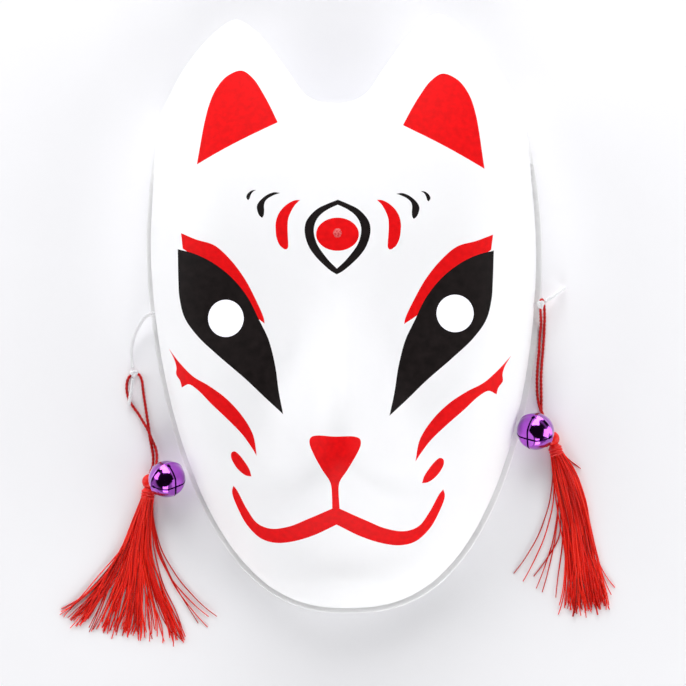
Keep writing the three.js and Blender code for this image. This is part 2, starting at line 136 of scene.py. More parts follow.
class CordSizes(bpy.types.PropertyGroup):
    """Sizes of the elastic and the red cords"""
    elastic: FloatProperty(
        name="Elastic", description="Diameter of the elastic", default=1.5 * MM, unit="LENGTH")
    red_cord: FloatProperty(
        name="Red cord", description="Diameter of the red cord", default=1.4 * MM, unit="LENGTH")
    knot: FloatProperty(
        name="Knot", description="Diameter of each knot in the elastic", default=3.8 * MM, unit="LENGTH")
    clearance: FloatProperty(
        name="Clearance", description="Gap between a knot and the cord under it",
        default=0.35 * MM, unit="LENGTH")
    elastic_colour: FloatVectorProperty(
        name="Elastic colour", description="Colour of the elastic", subtype="COLOR", size=3,
        default=(0.86, 0.86, 0.88))
    cord_colour: FloatVectorProperty(
        name="Cord colour", description="Colour of the red cord", subtype="COLOR", size=3,
        default=(0.5, 0.008, 0.008))


class BellSizes(bpy.types.PropertyGroup):
    """Sizes of the jingle bells"""
    diameter: FloatProperty(
        name="Diameter", description="Diameter of a bell", default=15.8 * MM, unit="LENGTH")
    length: FloatProperty(
        name="Length", description="From the closed pole to the slotted pole",
        default=15.6 * MM, unit="LENGTH")
    flat_end: FloatProperty(
        name="Flat end", description="Share of the slotted half's height where its leaves turn flat",
        default=0.87, min=0.5, max=1)
    wall: FloatProperty(
        name="Wall", description="Thickness of the sheet metal", default=0.5 * MM, unit="LENGTH")
    bead: FloatProperty(
        name="Bead", description="Height of the bead at the seam", default=0.35 * MM, unit="LENGTH")
    slot: FloatProperty(
        name="Slot", description="Width of the crossed slots", default=0.8 * MM, unit="LENGTH")
    slot_hole: FloatProperty(
        name="Slot hole", description="Diameter of the hole at each slot's end",
        default=2 * MM, unit="LENGTH")
    wire: FloatProperty(
        name="Wire", description="Diameter of the wire eye's wire", default=0.8 * MM, unit="LENGTH")
    eye_clearance: FloatProperty(
        name="Eye clearance", description="Room between the wire eye and its cord",
        default=0.5 * MM, unit="LENGTH")
    colour: FloatVectorProperty(
        name="Metal", description="Colour of the plated metal", subtype="COLOR", size=3,
        default=(0.38, 0.05, 0.56))


class TasselSizes(bpy.types.PropertyGroup):
    """Sizes of the tassels"""
    ball: FloatProperty(
        name="Ball", description="Diameter of the ball knot", default=6.4 * MM, unit="LENGTH")
    collar: FloatProperty(
        name="Collar", description="Diameter of the wrapped collar", default=5.8 * MM, unit="LENGTH")
    collar_length: FloatProperty(
        name="Collar length", description="Length of the wrapped collar",
        default=3.6 * MM, unit="LENGTH")
    wraps: IntProperty(
        name="Wraps", description="Turns of cord round the collar", default=3)
    strand: FloatProperty(
        name="Strand", description="Diameter of one silky strand", default=0.58 * MM, unit="LENGTH")
    strands: IntProperty(
        name="Strands", description="Strands in the body of one skirt", default=150)
    thickness: FloatProperty(
        name="Skirt thickness", description="Thickness of the skirt at its collar",
        default=4.6 * MM, unit="LENGTH")
    colour: FloatVectorProperty(
        name="Silk", description="Colour of the strands", subtype="COLOR", size=3,
        default=(0.86, 0.012, 0.006))


# Curves and meshes

def smoothstep(low, high, value):
    """Zero up to low, one from high, and 3s^2 - 2s^3 of the share between them."""
    share = np.clip((value - low) / (high - low), 0, 1)
    return share * share * (3 - 2 * share)


def bump(distance, spread):
    """A bell curve: e to the minus square of distance over spread."""
    return np.exp(-((distance / spread) ** 2))


def bump_at(value, form):
    """A bell curve about a form's place, as wide as its spread."""
    place, spread = form
    return bump(value - place, spread)


def unit(vectors):
    """Each vector divided by its own length."""
    vectors = np.asarray(vectors, float)
    return vectors / np.linalg.norm(vectors, axis=-1, keepdims=True)


def curve_through(points, closed=False, steps=24):
    """A centripetal Catmull-Rom curve: between two points a cubic whose end slopes come from the points
    before and after, with the square root of each distance as its share of time."""
    points = np.asarray(points, float)
    if closed:
        whole = np.concatenate([points[-1:], points, points[:2]])
    else:
        whole = np.concatenate([2 * points[:1] - points[1:2], points, 2 * points[-1:] - points[-2:-1]])
    before, start, end, after = (whole[i:len(whole) - 3 + i, None] for i in range(4))
    times = np.sqrt(np.linalg.norm(np.diff(whole, axis=0), axis=1))[:, None, None]
    first, middle, last = times[:-2], times[1:-1], times[2:]
    leaving = (start - before) / first - (end - before) / (first + middle) + (end - start) / middle
    arriving = (end - start) / middle - (after - start) / (middle + last) + (after - end) / last
    leaving, arriving = leaving * middle, arriving * middle
    share = np.linspace(0, 1, steps, endpoint=False)[None, :, None]
    square = -3 * start + 3 * end - 2 * leaving - arriving
    cube = 2 * start - 2 * end + leaving + arriving
    curve = (start + leaving * share + square * share ** 2 + cube * share ** 3).reshape(-1, points.shape[1])
    return curve if closed else np.concatenate([curve, points[-1:]])


def distance_along(points):
    """The way from the first point to each point, along the straight steps between them."""
    steps = np.linalg.norm(np.diff(points, axis=0), axis=1)
    return np.concatenate([[0], np.cumsum(steps)])


def spaced(points, spacing, closed=False):
    """The same line with evenly spaced points, by their distance along it."""
    line = np.concatenate([points, points[:1]]) if closed else points
    way = distance_along(line)
    count = max(int(round(way[-1] / spacing)), 2) + (not closed)
    places = np.linspace(0, way[-1], count, endpoint=not closed)
    return np.stack([np.interp(places, way, column) for column in line.T], axis=1)


def make_piece(name, points, faces, materials, material_index=None, uv=None, sharp=radians(50)):
    """An object at the origin from an array of points and a list of face arrays."""
    mesh = bpy.data.meshes.new(name)
    rows = [row for block in faces for row in block.tolist()]
    mesh.from_pydata(points.tolist(), [], rows)
    for material in materials:
        mesh.materials.append(material)
    if material_index is not None:
        mesh.polygons.foreach_set("material_index", material_index.astype(np.int32))
    if uv is not None:
        mesh.uv_layers.new(name="route").uv.foreach_set("vector", uv.astype(np.float32).ravel())
    mesh.shade_smooth()
    mesh.set_sharp_from_angle(angle=sharp)
    piece = bpy.data.objects.new(name, mesh)
    bpy.context.scene.collection.objects.link(piece)
    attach(piece, BODY)
    return piece


def grid_faces(rows, columns, first=0):
    """Squares between neighbouring rows and columns, the last column joined to the first."""
    row = np.arange(rows - 1)[:, None]
    column = np.arange(columns)[None, :]
    beside = (column + 1) % columns
    corners = [row * columns + column, row * columns + beside,
               (row + 1) * columns + beside, (row + 1) * columns + column]
    squares = [np.broadcast_to(corner, (rows - 1, columns)) for corner in corners]
    return first + np.stack(squares, -1).reshape(-1, 4)


def grid_uv(rows, columns, along):
    """For each square's corners: the share of the way round, and the distance along in metres."""
    row = np.arange(rows - 1)[:, None, None]
    column = np.arange(columns)[None, :, None]
    right = np.array([0, 1, 1, 0])
    down = np.array([0, 0, 1, 1])
    around = np.broadcast_to((column + right) / columns, (rows - 1, columns, 4))
    way = np.broadcast_to(along[row + down], (rows - 1, columns, 4))
    return np.stack([around, way], -1).reshape(-1, 2)


def carried_frames(centres):
    """Side and up directions along a path, turned from ring to ring as little as the bends allow."""
    along = unit(np.gradient(centres, axis=0))
    start = np.cross(along[0], [0, 0, 1])
    if np.linalg.norm(start) < 0.1:
        start = np.cross(along[0], [0, 1, 0])
    side = np.empty_like(centres)
    side[0] = start / np.linalg.norm(start)
    for i in range(1, len(centres)):
        flat = side[i - 1] - along[i] * np.dot(side[i - 1], along[i])
        side[i] = flat / np.linalg.norm(flat)
    return side, np.cross(side, along)


def sweep(centres, radius, sides):
    """A tube: each ring's point lies at its radius from the centre, at an even turn round the path.
    radius is one number or an array over rings and turns."""
    side, up = carried_frames(centres)
    turn = np.arange(sides) * 2 * pi / sides
    radius = np.broadcast_to(radius, (len(centres), sides))[..., None]
    ring = side[:, None] * np.cos(turn)[:, None] + up[:, None] * np.sin(turn)[:, None]
    return (centres[:, None] + radius * ring).reshape(-1, 3)


def tube_faces(rings, sides, first=0):
    """The tube's squares and its two flat ends, all facing out."""
    start = np.arange(sides)[None, :] + first
    end = np.arange(sides)[::-1][None, :] + first + (rings - 1) * sides
    return [grid_faces(rings, sides, first)[:, ::-1], start, end]


def tube_uv(rings, sides, along):
    """The squares' coordinates and, at each end, one point's for its whole cap."""
    squares = grid_uv(rings, sides, along).reshape(-1, 4, 2)[:, ::-1].reshape(-1, 2)
    caps = [np.tile([0.5, along[i]], (sides, 1)) for i in (0, -1)]
    return np.concatenate([squares, *caps])


def revolved(radii, heights, sides):
    """A closed form turned about Z: rows of radii at heights from the lowest up, with a single point at
    each pole. radii may vary round each row."""
    turn = np.arange(sides) * 2 * pi / sides
    radii = np.broadcast_to(np.asarray(radii, float).reshape(len(radii), -1), (len(radii), sides))
    heights = np.broadcast_to(np.asarray(heights, float).reshape(len(heights), -1), (len(heights), sides))
    rows = np.stack([radii * np.cos(turn), radii * np.sin(turn), heights], -1)
    body = rows[1:-1].reshape(-1, 3)
    poles = np.array([[0, 0, heights[0, 0]], [0, 0, heights[-1, 0]]])
    count = len(body)
    ring = np.arange(sides)
    beside = (ring + 1) % sides
    last = count - sides
    low = np.stack([beside, ring, np.full(sides, count)], -1)
    high = np.stack([last + ring, last + beside, np.full(sides, count + 1)], -1)
    return np.concatenate([body, poles]), [grid_faces(len(rows) - 2, sides), low, high]


# Materials

def new_material(name):
    """A material with its node tree and its main shader."""
    material = bpy.data.materials.new(name)
    material.use_nodes = True
    return material, material.node_tree, material.node_tree.nodes["Principled BSDF"]


def set_plain(shader, **values):
    """Plain values on the shader's own sockets, each named with spaces as underscores."""
    for name, value in values.items():
        shader.inputs[name.replace("_", " ")].default_value = value


def add_noise(tree, scale, detail=3.0):
    """A noise pattern on object coordinates; its scale is the number of grains in a metre."""
    place = tree.nodes.new("ShaderNodeTexCoord")
    noise = tree.nodes.new("ShaderNodeTexNoise")
    noise.inputs["Scale"].default_value = scale
    noise.inputs["Detail"].default_value = detail
    tree.links.new(place.outputs["Object"], noise.inputs["Vector"])
    return noise


def add_ramp(tree, source, stops):
    """A colour ramp between stops of (place, colour), read from a value."""
    ramp = tree.nodes.new("ShaderNodeValToRGB")
    ramp.color_ramp.elements[0].position = stops[0][0]
    ramp.color_ramp.elements[1].position = stops[-1][0]
    for place, colour in stops[1:-1]:
        ramp.color_ramp.elements.new(place)
    for element, (place, colour) in zip(ramp.color_ramp.elements, stops):
        element.color = (*colour, 1)
    tree.links.new(source, ramp.inputs["Fac"])
    return ramp


def vary_colour(tree, shader, source, colour, darker, lighter, low=0.3, high=0.7):
    """The base colour between a darker and a lighter share of itself."""
    stops = [(low, [min(c * darker, 1) for c in colour]), (high, [min(c * lighter, 1) for c in colour])]
    tree.links.new(add_ramp(tree, source, stops).outputs["Color"], shader.inputs["Base Color"])


def vary_roughness(tree, shader, source, low, high):
    """The roughness between two values."""
    spread = tree.nodes.new("ShaderNodeMapRange")
    spread.inputs["To Min"].default_value = low
    spread.inputs["To Max"].default_value = high
    tree.links.new(source, spread.inputs["Value"])
    tree.links.new(spread.outputs["Result"], shader.inputs["Roughness"])


def add_bump(tree, shader, source, height):
    """A fine relief of a height in metres."""
    relief = tree.nodes.new("ShaderNodeBump")
    relief.inputs["Distance"].default_value = height
    tree.links.new(source, relief.inputs["Height"])
    tree.links.new(relief.outputs["Normal"], shader.inputs["Normal"])


def route_stripes(tree, around, along, slant):
    """Stripes on a cord's own coordinates: a sine of the way round and the way along, both turned by the
    slant, so that the stripes wind round the cord."""
    coordinate = tree.nodes.new("ShaderNodeUVMap")
    coordinate.uv_map = "route"
    mapping = tree.nodes.new("ShaderNodeMapping")
    mapping.inputs["Scale"].default_value = (around, along, 1)
    split = tree.nodes.new("ShaderNodeSeparateXYZ")
    total = tree.nodes.new("ShaderNodeMath")
    total.operation = "MULTIPLY_ADD"
    total.inputs[1].default_value = slant
    wave = tree.nodes.new("ShaderNodeMath")
    wave.operation = "SINE"
    tree.links.new(coordinate.outputs["UV"], mapping.inputs["Vector"])
    tree.links.new(mapping.outputs["Vector"], split.inputs["Vector"])
    tree.links.new(split.outputs["X"], total.inputs[0])
    tree.links.new(split.outputs["Y"], total.inputs[2])
    tree.links.new(total.outputs["Value"], wave.inputs[0])
    return wave.outputs["Value"]


def white_plastic(mask):
    """Satin moulded plastic: faintly uneven gloss and a fine orange-peel skin."""
    material, tree, shader = new_material("white_plastic")
    cloud = add_noise(tree, 30)
    peel = add_noise(tree, 900, detail=2)
    vary_colour(tree, shader, cloud.outputs["Fac"], mask.white, 0.99, 1.01)
    vary_roughness(tree, shader, cloud.outputs["Fac"], 0.34, 0.46)
    add_bump(tree, shader, peel.outputs["Fac"], 0.02 * MM)
    set_plain(shader, Specular_IOR_Level=0.3, Subsurface_Weight=1.0, Subsurface_Radius=(1, 1, 1),
              Subsurface_Scale=4 * MM)
    return material


def red_ink(mask):
    """Screen-printed red, mottled where the coat is thinner."""
    material, tree, shader = new_material("red_ink")
    mottle = add_noise(tree, 420, detail=5)
    grain = add_noise(tree, 2600, detail=2)
    vary_colour(tree, shader, mottle.outputs["Fac"], mask.red, 0.9, 1.08)
    vary_roughness(tree, shader, mottle.outputs["Fac"], 0.5, 0.66)
    add_bump(tree, shader, grain.outputs["Fac"], 0.015 * MM)
    set_plain(shader, Specular_IOR_Level=0.08)
    return material


def black_ink(mask):
    """Screen-printed warm black, duller than the plastic."""
    material, tree, shader = new_material("black_ink")
    mottle = add_noise(tree, 300, detail=5)
    grain = add_noise(tree, 2400, detail=2)
    vary_colour(tree, shader, mottle.outputs["Fac"], mask.black, 0.7, 1.4)
    vary_roughness(tree, shader, mottle.outputs["Fac"], 0.5, 0.66)
    add_bump(tree, shader, grain.outputs["Fac"], 0.015 * MM)
    set_plain(shader, Specular_IOR_Level=0.08)
    return material


def gate_mark(mask):
    """The moulding point on the brow, where the red coat is worn to pink."""
    material, tree, shader = new_material("gate_mark")
    wear = add_noise(tree, 1500, detail=4)
    stops = [(0.35, (0.6, 0.02, 0.03)), (0.65, (0.85, 0.16, 0.15))]
    colours = add_ramp(tree, wear.outputs["Fac"], stops)
    tree.links.new(colours.outputs["Color"], shader.inputs["Base Color"])
    vary_roughness(tree, shader, wear.outputs["Fac"], 0.4, 0.6)
    add_bump(tree, shader, wear.outputs["Fac"], 0.08 * MM)
    return material


def braided_elastic(cords):
    """White braid: two sets of slanted ridges that cross, with painted shade that darkens the colour in the
    grooves between them, and soft fibre.
    """
    material, tree, shader = new_material("white_elastic")
    there = route_stripes(tree, 2 * pi * 4, 5200, 1)
    back = route_stripes(tree, 2 * pi * 4, 5200, -1)
    braid = tree.nodes.new("ShaderNodeMath")
    braid.operation = "MAXIMUM"
    tree.links.new(there, braid.inputs[0])
    tree.links.new(back, braid.inputs[1])
    fibre = add_noise(tree, 3000)
    # Painted shade: the white is darker in the grooves between the ridges and lighter on their tops
    vary_colour(tree, shader, braid.outputs["Value"], cords.elastic_colour, 0.86, 1.04, 0.0, 1.0)
    vary_roughness(tree, shader, fibre.outputs["Fac"], 0.6, 0.8)
    add_bump(tree, shader, braid.outputs["Value"], 0.06 * MM)
    set_plain(shader, Sheen_Weight=0.2)
    return material


def twisted_cord(cords):
    """Crimson yarn: fine slanted fibres on each ply."""
    material, tree, shader = new_material("red_cord")
    fibres = route_stripes(tree, 2 * pi * 9, 9000, 1)
    patches = add_noise(tree, 700)
    vary_colour(tree, shader, patches.outputs["Fac"], cords.cord_colour, 0.72, 1.35)
    vary_roughness(tree, shader, patches.outputs["Fac"], 0.45, 0.65)
    add_bump(tree, shader, fibres, 0.03 * MM)
    set_plain(shader, Specular_IOR_Level=0.2)
    return material


def red_silk(tassels):
    """Glossy rayon strands: each has its own tone, and fine twist lines catch the light."""
    material, tree, shader = new_material("red_silk")
    tone = tree.nodes.new("ShaderNodeAttribute")
    tone.attribute_name = "tone"
    twist = route_stripes(tree, 2 * pi * 2, 5600, 1)
    stops = [(0.0, [0.4 * c for c in tassels.colour]), (0.45, tassels.colour),
             (1.0, (1.0, 0.035, 0.014))]
    colours = add_ramp(tree, tone.outputs["Fac"], stops)
    tree.links.new(colours.outputs["Color"], shader.inputs["Base Color"])
    vary_roughness(tree, shader, tone.outputs["Fac"], 0.28, 0.42)
    add_bump(tree, shader, twist, 0.03 * MM)
    set_plain(shader, Specular_IOR_Level=0.3)
    return material


def purple_metal(bells):
    """Bright plated metal with a faint drawn grain."""
    material, tree, shader = new_material("purple_metal")
    cloud = add_noise(tree, 160)
    grain = add_noise(tree, 3200, detail=2)
    vary_colour(tree, shader, cloud.outputs["Fac"], bells.colour, 0.8, 1.15)
    vary_roughness(tree, shader, cloud.outputs["Fac"], 0.07, 0.16)
    add_bump(tree, shader, grain.outputs["Fac"], 0.004 * MM)
    set_plain(shader, Metallic=1.0, Coat_Weight=1.0, Coat_Roughness=0.05)
    return material


# The moulded mask: its surface

# Where the face's forms stand and how far they spread: shares of the half width across the face and of the
# half length along it
NOSE_PLACE = -0.413
SNOUT_SPREAD_UP, SNOUT_SPREAD_DOWN = 0.357, 0.19
PADS_ACROSS, PADS_ALONG = (0.258, 0.176), (-0.54, 0.103)
CHIN_ACROSS, CHIN_ALONG = (0, 0.258), (-0.873, 0.071)
EYES_ACROSS, EYES_ALONG = (0.54, 0.2), (0.016, 0.159)
RELIEF_FADE = 12 * MM


def oval_half_width(y, inset):
    """Half width of the dome's oval: full at its widest line; below, (1 - share^1.8)^0.4 of it, where share
    is the way down to the chin; above, it falls with the square of the height."""
    run = WIDEST_Y + HALF_LENGTH - inset
    share = np.clip((WIDEST_Y - y) / run, 0, 1)
    low = (1 - share ** 1.8) ** 0.4
    high = 1 - 0.42 * (np.maximum(y - WIDEST_Y, 0) / HALF_LENGTH) ** 2
    return (HALF_WIDTH - inset) * np.where(y < WIDEST_Y, low, high)


def centre_height(mask, y, inset):
    """Height of the dome on its centre line: the square root of 1 - share^3.4 towards the chin, and a slow
    square fall towards the ears."""
    run = WIDEST_Y + HALF_LENGTH - inset
    share = np.clip((WIDEST_Y - y) / run, 0, 1)
    low = (1 - share ** 3.4) ** 0.5
    high = 1 - 0.873 * (np.maximum(y - WIDEST_Y, 0) / HALF_LENGTH) ** 2
    return mask.face_depth * np.where(y < WIDEST_Y, low, high)


def relief(mask, x, y):
    """Snout, muzzle pads, chin and eye hollows: products of bell curves across and along the face."""
    u = np.abs(x) / HALF_WIDTH
    v = y / HALF_LENGTH
    lengthwise = bump(v - NOSE_PLACE, np.where(v > NOSE_PLACE, SNOUT_SPREAD_UP, SNOUT_SPREAD_DOWN))
    snout_spread = 0.152 + 0.082 * smoothstep(-0.08, -0.4, v)
    snout = mask.snout_rise * lengthwise * bump(u, snout_spread)
    pads = mask.pad_rise * bump_at(u, PADS_ACROSS) * bump_at(v, PADS_ALONG)
    chin = mask.chin_rise * bump_at(u, CHIN_ACROSS) * bump_at(v, CHIN_ALONG)
    eyes = mask.eye_hollow * bump_at(u, EYES_ACROSS) * bump_at(v, EYES_ALONG)
    return snout + pads + chin - eyes


def face_height(mask, x, y, inset):
    """The dome, whose section is the square root of 1 - (share across)^boxiness, with the relief faded in
    over the lowest part of its height."""
    half_width = np.maximum(oval_half_width(y, inset), 1e-9)
    boxiness = 2.3 + 1.3 * smoothstep(-0.8 * HALF_LENGTH, -0.08 * HALF_LENGTH, y)
    across = np.clip(np.abs(x) / half_width, 0, 1)
    dome = centre_height(mask, y, inset) * np.sqrt(1 - across ** boxiness)
    return dome + relief(mask, x, y) * smoothstep(0, RELIEF_FADE, dome)


def lip_width(mask, y):
    """The lip along the rim runs out towards the ears."""
    return mask.lip * (1 - smoothstep(0.4 * HALF_LENGTH, 0.7 * HALF_LENGTH, y))


def front_height(mask, x, y):
    """The front: the face raised by the wall."""
    return mask.wall + face_height(mask, x, y, lip_width(mask, y))


def back_height(mask, x, y):
    """The back: the face with its oval moved in by the wall."""
    return face_height(mask, x, y, lip_width(mask, y) + mask.wall)


def mask_outline():
    """The rim seen from above: the valley, one ear by listed shares of the half sizes, then the oval
    down to the chin, and the same mirrored, as one smooth loop that runs clockwise."""
    ear = np.array([
        (0.129, 0.714), (0.229, 0.806), (0.317, 0.893), (0.393, 0.956), (0.493, 1),
        (0.592, 0.964), (0.692, 0.897), (0.78, 0.821), (0.833, 0.762), (0.895, 0.706),
    ]) * [HALF_WIDTH, HALF_LENGTH]
    upper = np.array([0.63, 0.5, 0.37]) * HALF_LENGTH
    lower = WIDEST_Y - (WIDEST_Y + HALF_LENGTH) * np.sin(pi / 2 * np.arange(14) / 14)
    down = np.concatenate([upper, lower])
    side = np.concatenate([ear, np.stack([oval_half_width(down, 0), down], -1)])
    valley, chin = [[0, 0.69 * HALF_LENGTH]], [[0, -HALF_LENGTH]]
    return curve_through(np.concatenate([valley, side, chin, side[::-1] * [-1, 1]]), closed=True)


class Unrolled:
    """The surface laid flat from the hub: a point keeps its direction, and its distance is measured along
    the surface, so that steep walls get as much room as they have in space."""

    rays = 720
    samples = 400

    def __init__(self, outline, height):
        way = outline - HUB
        angle = np.arctan2(way[:, 1], way[:, 0])
        order = np.argsort(angle)
        self.angles = np.linspace(-pi, pi, self.rays + 1)
        self.edge = np.interp(self.angles, angle[order], np.hypot(*way.T)[order], period=2 * pi)
        self.shares = 1 - (1 - np.linspace(0, 1, self.samples)) ** 2
        reach = self.edge[:, None] * self.shares
        x = HUB[0] + reach * np.cos(self.angles)[:, None]
        y = HUB[1] + reach * np.sin(self.angles)[:, None]
        steps = np.hypot(np.diff(reach, axis=1), np.diff(height(x, y), axis=1))
        self.lengths = np.concatenate([np.zeros((len(reach), 1)), np.cumsum(steps, axis=1)], axis=1)
        self.whole = self.lengths[:, -1]
        even = np.linspace(0, 1, self.samples)
        self.back = np.array([np.interp(even, row / row[-1], self.shares) for row in self.lengths])

    def mixed(self, table, angle, place):
        """A value between the four nearest places of a table over angles and even places."""
        row = (angle + pi) / (2 * pi) * self.rays
        column = np.clip(place, 0, 1) * (self.samples - 1)
        i = np.clip(row.astype(int), 0, self.rays - 1)
        j = np.clip(column.astype(int), 0, self.samples - 2)
        a, b = row - i, column - j
        near = table[i, j] * (1 - b) + table[i, j + 1] * b
        far = table[i + 1, j] * (1 - b) + table[i + 1, j + 1] * b
        return near * (1 - a) + far * a

    def flat(self, points):
        """From places seen from above to places on the flat layout."""
        way = points - HUB
        angle = np.arctan2(way[:, 1], way[:, 0])
        share = np.hypot(*way.T) / np.interp(angle, self.angles, self.edge)
        length = self.mixed(self.lengths, angle, 1 - np.sqrt(1 - np.clip(share, 0, 1)))
        return length[:, None] * np.stack([np.cos(angle), np.sin(angle)], -1)

    def folded(self, flat):
        """From places on the flat layout back to places seen from above."""
        angle = np.arctan2(flat[:, 1], flat[:, 0])
        share = self.mixed(self.back, angle, np.hypot(*flat.T) / np.interp(angle, self.angles, self.whole))
        reach = share * np.interp(angle, self.angles, self.edge)
        return HUB + reach[:, None] * np.stack([np.cos(angle), np.sin(angle)], -1)


def staggered_grid(reach, spacing):
    """Points of a triangular pattern over a square that reaches as far as given from its centre."""
    rows = np.arange(-reach, reach, spacing * 0.75 ** 0.5)
    columns = np.arange(-reach, reach, spacing)
    y, x = np.meshgrid(rows, columns, indexing="ij")
    x = x + spacing / 2 * (np.arange(len(rows)) % 2)[:, None]
    return np.stack([x.ravel(), y.ravel()], -1)


def clear_of(points, lines, gap):
    """The points that have no line's point in their own cell of the gap's size or in a cell beside it."""
    low = np.min(points, axis=0) - 2 * gap
    size = np.ceil((np.max(points, axis=0) - low) / gap).astype(int) + 3
    taken = np.zeros(size, bool)
    cells = np.clip(((lines - low) / gap).astype(int), 1, size - 2)
    for i in (-1, 0, 1):
        for j in (-1, 0, 1):
            taken[cells[:, 0] + i, cells[:, 1] + j] = True
    own = ((points - low) / gap).astype(int)
    return points[~taken[own[:, 0], own[:, 1]]]


def turns_left(loop):
    """Whether a closed loop runs anticlockwise: the sum of its corner products is positive."""
    after = np.roll(loop, -1, axis=0)
    return np.sum(loop[:, 0] * after[:, 1] - loop[:, 1] * after[:, 0]) > 0


def triangulated(loops, layers, lines, fill):
    """A flat sheet of triangles inside the first loop and outside those of layer None. Each triangle gets
    the layer of the last loop that holds it, and the points of loops, lines and fill are all used.
    Returns the points, the triangles, their layers, and where each loop's points went."""
    sizes = [len(loop) for loop in loops]
    starts = np.concatenate([[0], np.cumsum(sizes)])
    rings = [list(range(start, start + size)) for start, size in zip(starts, sizes)]
    rings = [ring if turns_left(loop) else ring[::-1] for ring, loop in zip(rings, loops)]
    line_start = starts[-1]
    edges = []
    for line in lines:
        edges += [(i, i + 1) for i in range(line_start, line_start + len(line) - 1)]
        line_start += len(line)
    points = np.concatenate([*loops, *lines, fill])
    result = delaunay_2d_cdt([Vector(p) for p in points.tolist()], edges, rings, 0, 1e-8, True)
    out_points, _, triangles, origins, _, holders = result
    moved = np.zeros(len(points), int)
    moved[[i for group in origins for i in group]] = [k for k, group in enumerate(origins) for _ in group]
    holes = {i for i, layer in enumerate(layers) if layer is None}
    kept = [k for k, inside in enumerate(holders) if inside and not holes.intersection(inside)]
    triangles = np.array([triangles[k] for k in kept])
    layer = np.array([layers[max(holders[k])] for k in kept])
    where = [moved[start:start + size] for start, size in zip(starts, sizes)]
    return np.array([tuple(p) for p in out_points]), triangles, layer, where


# The print: outlines in millimetres for the viewer's right side. Each inner list starts at a corner and
# runs smoothly to the first point of the next.
EAR_PRINT = [
    [(58.5, 62.4), (54.6, 86.2), (51.6, 94.2), (47.3, 99.4), (41.4, 101.6), (36.5, 98.2), (32, 91.6),
     (28.6, 85.5)],
    [(25.5, 79.2), (41.8, 71.2)],
]
EYE_LID = [
    [(63, 33.6), (56.2, 30.8), (48.4, 28.3), (41.8, 22.6), (35.9, 15), (31.9, 7.8), (28.1, -0.4)],
    [(27.6, -2.9), (35, 2.6), (46.5, 17.2)],
    [(62.2, 27.3)],
]
EYE_PATCH = [
    [(64, 27.6), (57, 25.6), (50, 22.2), (42.4, 16.4), (36, 8.6), (31.4, -0.4), (27.7, -8), (25, -18.3),
     (23.5, -28.2)],
    [(21.6, -37.1), (28.7, -30.9), (36.5, -23.6), (47.4, -14.5), (55.7, -7), (61.2, 0.5), (63.3, 8.5),
     (63.7, 14.5)],
]
CHEEK_STRIPE = [
    [(70.4, -12.3), (64.8, -18.2), (58.8, -23.3), (52, -26.8), (44.5, -31.8), (37.7, -38.8), (33.2, -46.3)],
    [(31.7, -54.6), (33.9, -51.3), (38, -46), (44.5, -39.8), (50.7, -34.4), (57.1, -28.6), (61, -26.6)],
    [(64.4, -28.1), (65.1, -25.4), (67, -22.7), (66.8, -20), (67.6, -17)],
]
CHEEK_DROP = [
    [(34.2, -63.7), (36.5, -63.5), (39.2, -61.9), (41.5, -59.3), (42.9, -56.4), (42.7, -54.4),
     (41.3, -53.8), (39.5, -55), (37.1, -57.8), (35, -61)],
]
MOUTH = [
    [(0, -74.4), (11, -79.9), (19.7, -84), (27.4, -85.4), (33, -83.4), (37.2, -77.5), (41.2, -69.9)],
    [(42.7, -68.2), (43.4, -71), (41.1, -78), (37.3, -85), (31.6, -90.2), (25.6, -91.6),
     (18.5, -90.6), (9.5, -87.4)],
    [(0, -82.3), (-0.5, -80), (-0.5, -76)],
]
SMALL_CRESCENT = [
    [(32.9, 51.2), (34.4, 51.1), (35.8, 50.2), (36.6, 49.1), (36.7, 48)],
    [(36, 47.1), (35.5, 47.6), (35, 49.1), (34.2, 50.4)],
]
MEDIUM_CRESCENT = [
    [(23.2, 50), (25.5, 50.3), (27.7, 49.6), (29.7, 48.3), (31.6, 46.4), (32.4, 44.6), (32, 42.3),
     (31.3, 40.9)],
    [(30.2, 40), (29.6, 40.9), (29.4, 42.9), (29.5, 45), (29.1, 46.6), (27.7, 48), (25.7, 49.1)],
]
RED_CRESCENT = [
    [(15.1, 47.1), (17, 47), (19.5, 45.9), (22.1, 43.7), (23.9, 40.9), (24.7, 37.8), (24.7, 35.2),
     (24.2, 31.7), (22.9, 28.9)],
    [(21.4, 27.6), (20.4, 27.3), (19.7, 28), (19.6, 30.1), (19.8, 33.1), (19.9, 36.8), (19.7, 39.6),
     (18.6, 42.5), (17, 45.2)],
]

# The marks on the middle line, by their right halves from the top down
NOSE = [(0, -45.5), (7.5, -45.5), (9.6, -46.4), (10.1, -48.2), (9.2, -51), (5, -58.5), (2.2, -62.8),
        (1.5, -65), (1.45, -76)]
RING_OUTSIDE = [(0, 47.4), (4.2, 45.7), (8, 43.8), (11, 41), (12.6, 38.4), (13.1, 35.3), (12.5, 31.6),
                (11, 28), (8.5, 24.6), (5.4, 21.5), (2.3, 18.9), (0, 17.6)]
RING_INSIDE = [(0, 45.4), (3.8, 43.6), (6.8, 41.4), (8.6, 38.9), (9.4, 36), (9.2, 33), (8, 29.5),
               (5.8, 26.2), (3.1, 22.9), (0, 19.9)]
PUPIL_CENTRE, PUPIL_RADII = (0, 33.6), (8.5, 6.6)
GATE_CENTRE, GATE_RADIUS, GATE_STEP, GATE_SIDES = (0, 34.1), 1.7, 0.25, 6
PRINT_PIVOT = (0, 36)

